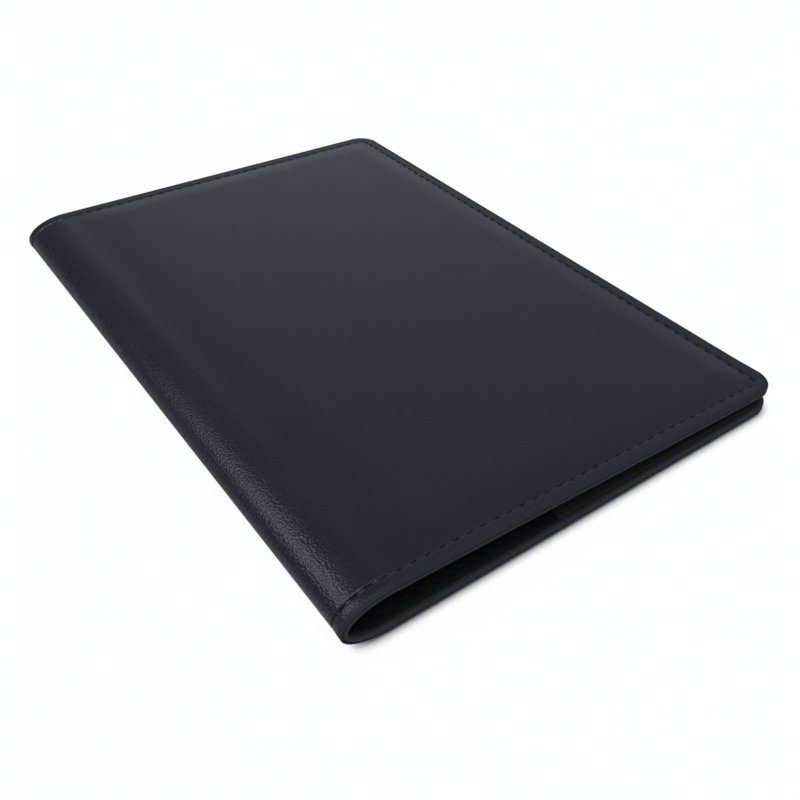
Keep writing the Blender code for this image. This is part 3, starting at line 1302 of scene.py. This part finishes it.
    def build(self) -> None:
        """Cuts the skin flat, parts it into the five stretches and folds it."""
        border = self.border_lines()
        front = self.leaf_lines(SECTION.front_root, SECTION.high, border)
        back = self.leaf_lines(SECTION.back_root, SECTION.low, border)
        places = merged(front, back, fold_lines(self.fold_spacing), apart=FINE_LINES_APART)
        half = SIZES.length / 2
        middle = stepped(border[-1] - half, half - border[-1], self.spacing)
        alongs = merged(half - border, border - half, middle, apart=FINE_LINES_APART)
        heights = (self.outer_height, self.inner_height)
        whole = FlatCut("leather", places, alongs, *heights, wall=self.rim_wall).cut()
        SEAM.mark(whole)
        material = self.finish.material()
        for stretch, piece in zip(STRETCHES, cut_into_stretches(whole, "leather")):
            dress(fold_up(piece), material)
            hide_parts(*stretch.solids("leather_panel", "fold_leather"))
            stretch.turn(piece)


class SeamLine:
    """The line of the seam, which runs once round the flat cut, and its stitches."""

    ARC_STEPS = 24
    MARKS = 2400
    AT_ONCE = 4000

    def __init__(self) -> None:
        """Lays the line out as four straight runs and four round corners."""
        inset, radius = SIZES.stitch_inset, SIZES.corner_radius - SIZES.stitch_inset
        half = SIZES.length / 2 - inset
        low, high = SECTION.low + inset, SECTION.high - inset
        points: list[Span] = [(low, 0.0)]
        for x, y, first in ((low, -half, 180), (high, -half, 270), (high, half, 0), (low, half, 90)):
            centre_x = x + radius * (1 if x == low else -1)
            centre_y = y - radius * math.copysign(1, y)
            for turn in np.radians(first + np.linspace(0, 90, self.ARC_STEPS)):
                points.append((centre_x + radius * math.cos(turn), centre_y + radius * math.sin(turn)))
        points.append((low, 0.0))
        self.points = np.array(points)
        steps = np.hypot(*np.diff(self.points, axis=0).T)
        self.lengths = np.concatenate([[0], np.cumsum(steps)])
        self.count = round(self.lengths[-1] / SIZES.stitch_pitch)
        self.pitch = self.lengths[-1] / self.count

    def at(self, length: np.ndarray) -> np.ndarray:
        """Place and Y at lengths along the seam, which closes on itself."""
        around = np.mod(length, self.lengths[-1])
        return np.column_stack([np.interp(around, self.lengths, axis) for axis in self.points.T])

    def mark(self, obj: bpy.types.Object) -> None:
        """Writes on a flat piece how many stitches along the seam each vertex lies.

        Args:
            obj: The piece.
        """
        flat = coordinates(obj)[:, :2]
        lengths = np.linspace(0, self.lengths[-1], self.MARKS)
        marks = self.at(lengths)
        nearest = np.zeros(len(flat))
        for start in range(0, len(flat), self.AT_ONCE):
            part = flat[start:start + self.AT_ONCE]
            gap = np.hypot(part[:, None, 0] - marks[None, :, 0], part[:, None, 1] - marks[None, :, 1])
            nearest[start:start + self.AT_ONCE] = lengths[gap.argmin(axis=1)]
        straight = self._straight(flat)
        phase = np.where(np.isnan(straight), nearest / self.pitch, straight / self.pitch)
        set_attribute(obj, PHASE_ATTRIBUTE, phase)

    def _straight(self, flat: np.ndarray) -> np.ndarray:
        """Length along the seam of points beside its straight runs.

        Args:
            flat: Rows of place and Y.

        Returns:
            The lengths, and nan beside the seam's corners.
        """
        place, along = flat.T
        radius = SIZES.corner_radius
        half = SIZES.length / 2 - radius
        low, high = SECTION.low + radius, SECTION.high - radius
        arc = math.pi / 2 * (radius - SIZES.stitch_inset)
        run, side = high - low, 2 * half
        near_gap = np.abs(np.abs(along) - (SIZES.length / 2 - SIZES.stitch_inset))
        low_gap = np.abs(place - SECTION.low - SIZES.stitch_inset)
        end_gap = np.minimum(low_gap, np.abs(SECTION.high - SIZES.stitch_inset - place))
        first = half + arc
        near = first + place - low
        free = first + run + arc + along + half
        far = first + run + arc + side + arc + high - place
        back = np.where(along < 0, -along, self.lengths[-1] - along)
        by_side = np.where(along < 0, near, far)
        by_end = np.where(place > 0, free, back)
        sides = (place > low) & (place < high) & (near_gap < end_gap)
        ends = (np.abs(along) < half) & (end_gap <= near_gap)
        return np.where(sides, by_side, np.where(ends, by_end, np.nan))


SEAM = SeamLine()


@dataclass
class Stitching:
    """The seam's stitches on one face of the holder.

    Attributes:
        kind: End of the pieces' names.
        thread: Thickness of the thread.
        level: Height of a stitch's middle above the border, at a place and Y.
        outward: 1 on the outer face, -1 on the inner one.
        visible: Share of the pitch over which a stitch shows.
        lean: Slant of each stitch across the seam.
        dip: How far a stitch's ends go down into their holes.
        replaces_solids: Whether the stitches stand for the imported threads.
    """

    kind: str
    thread: float
    level: Callable[[np.ndarray, np.ndarray], np.ndarray]
    outward: float = 1.0
    visible: float = 0.66
    lean: float = 0.12
    dip: float = 0.3 * MM
    replaces_solids: bool = False

    # The ball's faces, and how far from its middle the half that is drawn out begins, in thicknesses
    SEGMENTS = 8
    RINGS = 6
    DRAWN_FROM = 0.02

    # Step for the seam's direction, how sharply a stitch dips, and how often a turn shows its twist
    STEP = 0.02 * MM
    DIP_POWER = 3
    TWIST = 3

    @property
    def half(self) -> float:
        """Half the length of a stitch."""
        return SEAM.pitch * self.visible / 2

    def one_stitch(self) -> bpy.types.Object:
        """Models one stitch: a ball drawn out to a short length of thread.

        Returns:
            The stitch, at the origin.
        """
        radius = self.thread / 2
        bpy.ops.object.select_all(action="DESELECT")
        bpy.ops.mesh.primitive_uv_sphere_add(
            segments=self.SEGMENTS, ring_count=self.RINGS, radius=radius, rotation=(0, math.pi / 2, 0),
        )
        stitch = bpy.context.object
        bpy.ops.object.transform_apply(location=False, rotation=True, scale=False)
        for sign in (1, -1):
            drawn = coordinates(stitch)[:, 0] * sign > self.DRAWN_FROM * self.thread
            with editing(stitch, drawn):
                bpy.ops.transform.translate(value=(sign * (self.half - radius), 0, 0))
        with editing(stitch):
            bpy.ops.mesh.subdivide(number_cuts=1)
        return stitch

    def lay(self, stitch: bpy.types.Object, number: int) -> bpy.types.Object:
        """Copies the stitch to its place in the flat seam.

        Args:
            stitch: The one that was modelled.
            number: Which stitch of the seam it is.

        Returns:
            The flat copy.
        """
        made = stitch.copy()
        made.data = stitch.data.copy()
        bpy.context.collection.objects.link(made)
        x, y, z = coordinates(stitch).T
        length = (number + 0.5) * SEAM.pitch + x
        here = SEAM.at(length)
        ahead = SEAM.at(length + self.STEP) - here
        ahead /= np.hypot(*ahead.T)[:, None]
        across = y + self.lean * x
        flat = here + np.column_stack([-ahead[:, 1], ahead[:, 0]]) * across[:, None]
        sunk = self.dip * np.abs(x / self.half) ** self.DIP_POWER
        height = self.level(here[:, 0], here[:, 1]) + self.outward * (z - sunk)
        set_coordinates(made, np.column_stack([flat, height]))
        corner = read_all(made.data.loops, "vertex_index", kind=int)
        set_pattern(made, np.column_stack([length, y * self.TWIST + z])[corner])
        return made

    def build(self, material: bpy.types.Material) -> None:
        """Lays every stitch, joins those of each stretch and folds them.

        Args:
            material: The thread.
        """
        stitch = self.one_stitch()
        groups: dict[str, list[bpy.types.Object]] = {stretch.label: [] for stretch in STRETCHES}
        for number in range(SEAM.count):
            place = SEAM.at(np.array([(number + 0.5) * SEAM.pitch]))[0, 0]
            label = next(stretch.label for stretch in STRETCHES if stretch.holds(place))
            groups[label].append(self.lay(stitch, number))
        bpy.data.objects.remove(stitch, do_unlink=True)
        for stretch in STRETCHES:
            bpy.ops.object.select_all(action="DESELECT")
            for copy in groups[stretch.label]:
                copy.select_set(True)
            bpy.context.view_layer.objects.active = groups[stretch.label][0]
            bpy.ops.object.join()
            piece = bpy.context.object
            piece.name = piece.data.name = f"{stretch.label}_{self.kind}"
            if self.outward < 0:
                turn_faces_out(piece)
            dress(fold_up(piece), material)
            if self.replaces_solids:
                threads = ("fold_stitching_near", "fold_stitching_far")
                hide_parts(*stretch.solids("edge_stitching", *threads))
            stretch.turn(piece)


@dataclass
class Lining:
    """The lining cloth, glued in one sheet over the inside of both leaves and the fold."""

    spacing: float = 2.5 * MM
    fold_spacing: float = 0.25 * MM

    # How far its cut edge is worn down, how far in that goes, and a least width for a strip of it,
    # which is not used
    edge_drop: float = 0.08 * MM
    edge_reach: float = 0.3 * MM
    least_declared: float = 10 * MM
    # A black lining, set darker still as painted shade for the inside of the closed holder
    finish: ClothFinish = ClothFinish(
        "lining_cloth", (0.0006, 0.0007, 0.0012), (0.003, 0.0034, 0.005),
    )

    EDGE_LINES = (0, 0.06 * MM, 0.15 * MM, 0.3 * MM)
    CORNER_LINES = 9

    def edge_lines(self) -> np.ndarray:
        """Distances from the holder's rim at which the lining has a line."""
        corner = np.linspace(0, SIZES.corner_radius - SIZES.lining_inset, self.CORNER_LINES)
        return SIZES.lining_inset + merged(self.EDGE_LINES, corner)

    def glued_height(self, at: FlatPlaces) -> np.ndarray:
        """Height of the face that is glued to the leather."""
        return np.full(len(at.place), -SIZES.lining_depth)

    def open_height(self, at: FlatPlaces) -> np.ndarray:
        """Height of the face that shows, which is worn down at its edge."""
        worn = 1 - smooth_share(at.from_rim, SIZES.lining_inset, SIZES.lining_inset + self.edge_reach)
        return -SIZES.lining_depth - SIZES.lining + self.edge_drop * worn

    def build(self) -> None:
        """Cuts, parts and folds the lining."""
        edge = self.edge_lines()
        places = merged(
            SECTION.low + edge, SECTION.high - edge, fold_lines(self.fold_spacing),
            stepped(SECTION.low + edge[-1], SECTION.back_root - self.spacing, self.spacing),
            stepped(SECTION.front_root + self.spacing, SECTION.high - edge[-1], self.spacing),
        )
        half = SIZES.length / 2
        middle = stepped(edge[-1] - half, half - edge[-1], self.spacing)
        alongs = merged(half - edge, edge - half, middle)
        heights = (self.glued_height, self.open_height)
        whole = FlatCut("lining", places, alongs, *heights, SIZES.lining_inset).cut()
        material = self.finish.material()
        for stretch, piece in zip(STRETCHES, cut_into_stretches(whole, "lining_cloth")):
            width = np.ptp(coordinates(piece)[:, 0])
            dress(fold_up(piece), material)
            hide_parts(*stretch.solids("lining", "fold_lining"))
            stretch.turn(piece)


@dataclass(frozen=True)
class PocketPlan:
    """One pocket sheet.

    Attributes:
        node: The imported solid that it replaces, which also names it.
        side: Leaf that it is sewn to.
        layer: How many other pockets lie between it and the lining.
        from_fold: Distances from the fold at which it begins and ends.
        alongs: Its ends in Y.
        mouth_on_far_end: Whether its mouth faces the far end, and not the fold.
        bow: How far the middle of its mouth lifts.
        bow_reach: How far from the mouth that lift fades.
    """

    node: str
    side: Side
    layer: int
    from_fold: Span
    alongs: Span
    mouth_on_far_end: bool
    bow: float
    bow_reach: float

    @property
    def places(self) -> Span:
        """Places between which it lies, the lower first."""
        return SECTION.span(self.side, self.from_fold)

    @property
    def depth(self) -> float:
        """Depth of its face towards the lining."""
        return SIZES.pocket_depth + self.layer * SIZES.pocket_layer

    def from_mouth(self, at: FlatPlaces) -> np.ndarray:
        """Distance from the mouth."""
        return self.alongs[1] - at.along if self.mouth_on_far_end else self.places[1] - at.place

    def lift(self, at: FlatPlaces) -> np.ndarray:
        """How far the pocket bows off its leaf towards its mouth.

        Args:
            at: Where the vertices lie.

        Returns:
            How far each is lifted.
        """
        low, high = self.places if self.mouth_on_far_end else self.alongs
        share = ((at.place if self.mouth_on_far_end else at.along) - low) / (high - low)
        fading = np.exp(-self.from_mouth(at) / self.bow_reach)
        return self.bow * np.sin(math.pi * np.clip(share, 0, 1)) * fading

    def from_edge(self, at: FlatPlaces) -> np.ndarray:
        """Distance from the nearest edge of the pocket."""
        (low, high), (near, far) = self.places, self.alongs
        return np.minimum.reduce([at.place - low, high - at.place, at.along - near, far - at.along])


@dataclass
class Pockets:
    """Passport sleeve, boarding pass pocket and card slots, in thin leather with turned mouths.

    Attributes:
        mouth_width: Width of the turned mouth, up to its crease.
        mouth_lift: How far the turned mouth stands proud.
        mouth_step: Width over which it comes down to the sheet.
        worn_depth: How far the edges are worn down.
        worn_width: How far in from the edges that goes.
    """

    spacing: float = 2.2 * MM
    mouth_width: float = 3.2 * MM
    mouth_lift: float = 0.1 * MM
    mouth_step: float = 0.4 * MM
    crease_width: float = 0.5 * MM
    crease_depth: float = 0.09 * MM
    worn_depth: float = 0.07 * MM
    worn_width: float = 0.2 * MM
    # Black leather, set darker than the outer leather as painted shade for the inside of the closed
    # holder
    finish: LeatherFinish = LeatherFinish(
        "pocket_leather", (0.002, 0.0023, 0.003), (0.0078, 0.0086, 0.011), 0.5, pebble=0.5,
        grain=0.014 * MM, shine=0.28,
    )

    # Lines of the mesh: beside each edge, beyond the mouth's crease, over the crease and over a corner
    EDGE_LINES = np.array([0, 0.03, 0.08, 0.15, 0.3, 0.6, 1.0]) * MM
    MOUTH_LINES = (1.6 * MM, 2.3 * MM)
    CREASE_LINES = 5
    CORNER_LINES = 9
    APART = 0.025 * MM

    # How far each kind of mouth lifts, and how far that reaches
    SLEEVE_BOW = (0.5 * MM, 9 * MM)
    PASS_POCKET_BOW = (0.4 * MM, 7 * MM)
    SLOT_BOW = (0.28 * MM, 3.5 * MM)

    def plans(self) -> list[PocketPlan]:
        """Lays out the pockets.

        Returns:
            The sleeve, the long pocket and the stepped card slots.
        """
        end = SIZES.length / 2 - SIZES.lining_inset
        back_rim = SECTION.run(Side.BACK) - SIZES.lining_inset
        front_rim = SECTION.run(Side.FRONT) - SIZES.lining_inset
        sleeve = (back_rim - SIZES.sleeve_width, back_rim)
        across = (SIZES.pocket_from_fold, front_rim)
        long_pocket = (-end, SIZES.pass_pocket_length - end)
        plans = [
            PocketPlan("passport_sleeve", Side.BACK, 0, sleeve, (-end, end), False, *self.SLEEVE_BOW),
            PocketPlan(
                "boarding_pass_pocket", Side.FRONT, 0, across, long_pocket, True, *self.PASS_POCKET_BOW,
            ),
        ]
        for slot in range(SIZES.slot_count):
            mouth = SIZES.first_slot_length + SIZES.slot_step * slot - end
            alongs = (max(-end, mouth - SIZES.slot_depth), mouth)
            node, layer = f"card_slot_{slot + 1}", SIZES.slot_count - slot
            plans.append(PocketPlan(node, Side.FRONT, layer, across, alongs, True, *self.SLOT_BOW))
        return plans

    def build(self) -> None:
        """Makes every pocket."""
        material = self.finish.material()
        for plan in self.plans():
            self._pocket(plan, material)

    def _lines(self, ends: Span, corners: np.ndarray, at_mouth: bool) -> np.ndarray:
        """Lines of the mesh from one edge of a pocket to the opposite one.

        Args:
            ends: The two edges.
            corners: Lines over the holder's corners.
            at_mouth: Whether the second edge is the mouth.

        Returns:
            The lines.
        """
        low, high = ends
        turned = self.mouth_width + self.crease_width * np.linspace(-0.5, 0.5, self.CREASE_LINES)
        mouth = high - np.concatenate([turned, self.MOUTH_LINES]) if at_mouth else [low]
        ring = corners[(corners > low) & (corners < high)]
        edges = (low + self.EDGE_LINES, high - self.EDGE_LINES)
        return merged(stepped(low, high, self.spacing), *edges, ring, mouth, apart=self.APART)

    def _relief(self, plan: PocketPlan, at: FlatPlaces) -> np.ndarray:
        """Turned mouth, pressed crease and worn edges of a pocket.

        Args:
            plan: The pocket.
            at: Where its vertices lie.

        Returns:
            How far each stands proud of the sheet.
        """
        from_mouth = plan.from_mouth(at)
        past_mouth = smooth_share(from_mouth, self.mouth_width, self.mouth_width + self.mouth_step)
        press = self.crease_depth * soft_ridge(from_mouth, self.mouth_width, self.crease_width / 2)
        worn = self.worn_depth * (1 - smooth_share(plan.from_edge(at), 0, self.worn_width))
        return self.mouth_lift * (1 - past_mouth) - press - worn

    def _pocket(self, plan: PocketPlan, material: bpy.types.Material) -> None:
        """Cuts one pocket flat, turns and creases its mouth, lifts it a little and folds it in place.

        Args:
            plan: The pocket.
            material: Its leather.
        """
        corner = np.linspace(0, SIZES.corner_radius, self.CORNER_LINES)
        rim = SECTION.low + corner if plan.side is Side.BACK else SECTION.high - corner
        sides = np.concatenate([corner - SIZES.length / 2, SIZES.length / 2 - corner])
        piece = FlatCut(
            plan.node + "_leather",
            self._lines(plan.places, rim, not plan.mouth_on_far_end),
            self._lines(plan.alongs, sides, plan.mouth_on_far_end),
            lambda at: -plan.depth - plan.lift(at),
            lambda at: -plan.depth - SIZES.pocket - plan.lift(at) - self._relief(plan, at),
            SIZES.lining_inset,
        ).cut()
        set_attribute(piece, PHASE_ATTRIBUTE, np.full(len(piece.data.vertices), BETWEEN_STITCHES))
        dress(fold_up(piece), material)
        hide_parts(plan.node)
        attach(piece, f"{plan.side.value}_cover")


@dataclass
class Padding:
    """The foam pads under the leather, and the stiffener boards that they lie on."""

    spacing: float = 2.5 * MM
    foam: FoamFinish = FoamFinish("padding_foam", (0.08, 0.08, 0.085), (0.2, 0.2, 0.21))
    board: BoardFinish = BoardFinish("stiffener_board", (0.2, 0.185, 0.165), (0.36, 0.34, 0.3))

    EDGE_LINES = np.array([0, 0.4, 0.9, 1.5, 2.2, 3.0, 4.0, 5.2, 6.4, 7.4]) * MM

    def build(self) -> None:
        """Makes the foam pads and finishes the boards."""
        foam, board = self.foam.material(), self.board.material()
        for side in Side:
            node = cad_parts[f"{side.value}_stiffener_board"]
            node.data.materials.clear()
            node.data.materials.append(board)
            self._pad(side, foam)

    def _lines(self, low: float, high: float) -> np.ndarray:
        """Lines of the mesh from one edge of a pad to the opposite one."""
        return merged(stepped(low, high, self.spacing), low + self.EDGE_LINES, high - self.EDGE_LINES)

    def _pad(self, side: Side, material: bpy.types.Material) -> None:
        """Cuts one foam pad, skived down to its edges.

        Args:
            side: Its leaf.
            material: The foam.
        """
        from_fold = (SIZES.padding_from_fold, SECTION.run(side) - SIZES.padding_inset)
        reach = SIZES.length / 2 - SIZES.padding_inset
        piece = FlatCut(
            f"{side.value}_padding",
            self._lines(*SECTION.span(side, from_fold)),
            self._lines(-reach, reach),
            lambda at: crown_height(at) - SIZES.leather - SIZES.glue_line,
            lambda at: np.full(len(at.place), -SIZES.foam_depth),
        ).cut()
        dress(fold_up(piece), material)
        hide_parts(f"{side.value}_foam_pad")
        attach(piece, f"{side.value}_cover")


def inner_level(place: np.ndarray, along: np.ndarray) -> np.ndarray:
    """Height of the innermost layer under the inner stitches.

    Args:
        place: Places along the section.
        along: Y of each.

    Returns:
        Heights, all below the border.
    """
    level = np.full(len(place), -SIZES.lining_depth - SIZES.lining)
    for plan in Pockets().plans():
        (low, high), (near, far) = plan.places, plan.alongs
        covered = (place >= low) & (place <= high) & (along >= near - SIZES.hem) & (along <= far)
        level = np.where(covered, np.minimum(level, -(plan.depth + SIZES.pocket)), level)
    return level


def sine(degrees: float) -> float:
    """Height on the unit sphere at an angle above the horizon."""
    return math.sin(math.radians(degrees))


@dataclass
class Studio:
    """Pale floor, soft light and the photograph's camera.

    Angles are in degrees. A span gives the value where a change begins and the one where it is full.
    """

    # Camera: place, turn about X, Y and Z, focal length and sensor in millimetres, clip distances
    camera_place: Colour = (-88.28 * MM, -148.83 * MM, 120.61 * MM)
    camera_turn: Colour = (50.378, 1.566, -34.817)
    lens: float = 42.085
    sensor: float = 36.0
    clip: Span = (0.01, 50)

    # Floor: side, gap under the holder, colour, and share of plain white in the camera's view
    floor_size: float = 12.0
    floor_gap: float = 0.1 * MM
    floor_colour: Colour = (0.93, 0.93, 0.935)
    floor_lift: float = 0.93

    # Floor in mirrored rays: levels behind, beside and before the holder, Y of before, X of beside
    floor_in_mirror: Colour = (0.02, 0.42, 0.7)
    before: Span = (-20 * MM, -65 * MM)
    beside: Span = (0.0, -45 * MM)

    # Contact shadow: reach, shares of open sky for black and white, and what mirrored rays leave out
    contact_reach: float = 2.3 * MM
    contact: Span = (0.32, 0.92)
    contact_in_mirror: float = 0.5

    # Studio: level at the left and of the wall, where the wall rises, spreads to the right and dims
    dark: float = 0.06
    wall: float = 0.47
    wall_rise: Span = (-2, 6)
    wall_spread: Span = (-0.28, 0.36)
    wall_dims: Span = (26, 50)
    wall_dimmed: float = 0.5

    # What the ceiling and the glow add. Mirrored rays see the plain backdrop below the horizon
    ceiling: float = 0.15
    ceiling_rise: Span = (sine(62), 0.98)
    glow: float = 0.35
    glow_from: Span = (60, 5)
    glow_width: Span = (26, 6)
    horizon: Span = (0.05, 0.02)

    # Tint of the light, and the two lamps: bearing and height, strength, width and distance
    cool: Colour = (0.9, 0.96, 1.08)
    key_from: Span = (-125, 62)
    key_energy: float = 2.3
    key_width: float = 50
    box_from: Span = (131, 41)
    box_distance: float = 0.3
    box_size: float = 0.11
    box_power: float = 0.2

    def build(self) -> None:
        """Sets up the floor, the light, the camera and the colour management."""
        self._floor()
        self._world()
        self._lamps()
        self._camera()
        bpy.context.scene.view_settings.view_transform = "Standard"

    def _floor(self) -> None:
        """A plain floor that looks white and keeps the holder's soft contact shadow."""
        bpy.ops.object.select_all(action="DESELECT")
        bpy.ops.mesh.primitive_plane_add(size=self.floor_size, location=(0, 0, -self.floor_gap))
        floor = bpy.context.object
        floor.name = "floor"
        tree = ShaderTree("pale_floor")
        tree.shade(Base_Color=(*self.floor_colour, 1), Roughness=0.9, Specular_IOR_Level=0.1)
        straight, mirrored = tree.background_rays()
        white = tree.node("ShaderNodeEmission", {}, {"Color": (1, 1, 1, 1), "Strength": 1.0})
        black = tree.node("ShaderNodeEmission", {}, {"Color": (0, 0, 0, 1), "Strength": 0.0})
        surface = Wire(tree, tree.shader.outputs[0])
        lifting = {0: straight * self.floor_lift, 1: surface, 2: white}
        lifted = tree.node("ShaderNodeMixShader", {}, lifting)
        sky = tree.node(
            "ShaderNodeAmbientOcclusion", {"samples": 8}, {"Distance": self.contact_reach}, output="AO",
        ).ramp(*self.contact)
        clear = sky + mirrored * self.contact_in_mirror * (1 - sky)
        shown = clear * (1 - mirrored * (1 - self._mirrored_level(tree)))
        kept = 1 - (straight + mirrored) * (1 - shown)
        seen = tree.node("ShaderNodeMixShader", {}, {0: kept, 1: black, 2: lifted})
        tree.feed(tree.nodes["Material Output"].inputs["Surface"], seen)
        floor.data.materials.append(tree.made)

    def _mirrored_level(self, tree: ShaderTree) -> Wire:
        """How light mirrored rays see each place of the floor.

        Args:
            tree: The floor's tree.

        Returns:
            The level.
        """
        right, ahead, _ = tree.axes(tree.position("Object"))
        behind, beside, before = self.floor_in_mirror
        near = ahead.ramp(*self.before)
        left = right.ramp(*self.beside)
        return behind + left * (beside - behind) * (1 - near) + near * (before - behind)

    def _world(self) -> None:
        """A grey studio, darker to the left and high up, with a pale glow low behind the holder."""
        tree = ShaderTree("studio", "worlds")
        direction = tree.position("Generated")
        right, _, height = tree.axes(direction)
        wall = (self.wall - self.dark) * height.ramp(*map(sine, self.wall_rise))
        dimmed = self.wall_dimmed * height.ramp(*map(sine, self.wall_dims))
        studio = self.dark + wall * right.straight(*self.wall_spread) * (1 - dimmed)
        studio = studio + self.ceiling * height.ramp(*self.ceiling_rise)
        towards = tree.node(
            "ShaderNodeVectorMath", {"operation": "DOT_PRODUCT"},
            {0: direction, 1: tuple(self._direction(*self.glow_from))}, output="Value",
        )
        widest, full = (math.cos(math.radians(angle)) for angle in self.glow_width)
        studio = studio + self.glow * towards.ramp(widest, full)
        straight, mirrored = tree.background_rays()
        backdrop = straight + mirrored * height.ramp(*self.horizon)
        tree.shade(
            Strength=studio + (1 - studio) * backdrop,
            Color=tree.shades(backdrop, self.cool, (1, 1, 1)),
        )
        bpy.context.scene.world = tree.made

    def _direction(self, bearing: float, height: float) -> Vector:
        """Direction of a bearing and a height, both in degrees."""
        return Euler((0, -math.radians(height), math.radians(bearing))).to_matrix() @ Vector((1, 0, 0))

    def _lamps(self) -> None:
        """A broad soft light from beside the camera, and a soft box for the sheen of the fold."""
        bearing, height = self.key_from
        turn = (0, math.radians(90 - height), math.radians(bearing))
        bpy.ops.object.light_add(type="SUN", rotation=turn)
        key = bpy.context.object
        key.name = "key_light"
        key.data.energy = self.key_energy
        key.data.angle = math.radians(self.key_width)
        out = self._direction(*self.box_from)
        near_end = Vector((SECTION.fold_x, -SIZES.length / 2, SIZES.fold_height))
        turn = out.to_track_quat("Z", "Y").to_euler()
        bpy.ops.object.light_add(type="AREA", location=near_end + out * self.box_distance, rotation=turn)
        box = bpy.context.object
        box.name = "fold_light"
        box.data.shape = "DISK"
        box.data.size = self.box_size
        box.data.energy = self.box_power
        box.data.color = self.cool

    def _camera(self) -> None:
        """The photograph's viewpoint, found from the holder's edges in it."""
        data = bpy.data.cameras.new("photograph_view")
        data.sensor_width = self.sensor
        data.lens = self.lens
        nearest, farthest = self.clip
        data.clip_start = nearest
        data.clip_end = farthest
        camera = bpy.data.objects.new("photograph_view", data)
        bpy.context.collection.objects.link(camera)
        camera.location = self.camera_place
        camera.rotation_euler = Euler([math.radians(angle) for angle in self.camera_turn])
        bpy.context.scene.camera = camera


def sew(skin: LeatherSkin) -> None:
    """Lays the seam's stitches on the outer leather and on the innermost layer.

    Args:
        skin: The outer leather, whose valley holds the outer stitches.
    """
    thread = ThreadFinish("sewing_thread", (0.0016, 0.0018, 0.0026), (0.0085, 0.0095, 0.0125)).material()
    sunk, proud = 0.02 * MM, 0.04 * MM
    Stitching(
        "stitches", 0.42 * MM, lambda place, along: -sunk - skin.seam_depth(place),
        replaces_solids=True,
    ).build(thread)
    Stitching(
        "inner_stitches", 0.3 * MM, lambda place, along: inner_level(place, along) + proud,
        outward=-1.0, dip=0.2 * MM,
    ).build(thread)


def main() -> None:
    """Builds every piece in order, then the studio."""
    logging.basicConfig(level=logging.INFO, format="%(message)s")
    bpy.ops.object.select_all(action="DESELECT")
    skin = LeatherSkin()
    skin.build()
    Lining().build()
    Pockets().build()
    Padding().build()
    sew(skin)
    Studio().build()


if __name__ == "__main__":
    main()
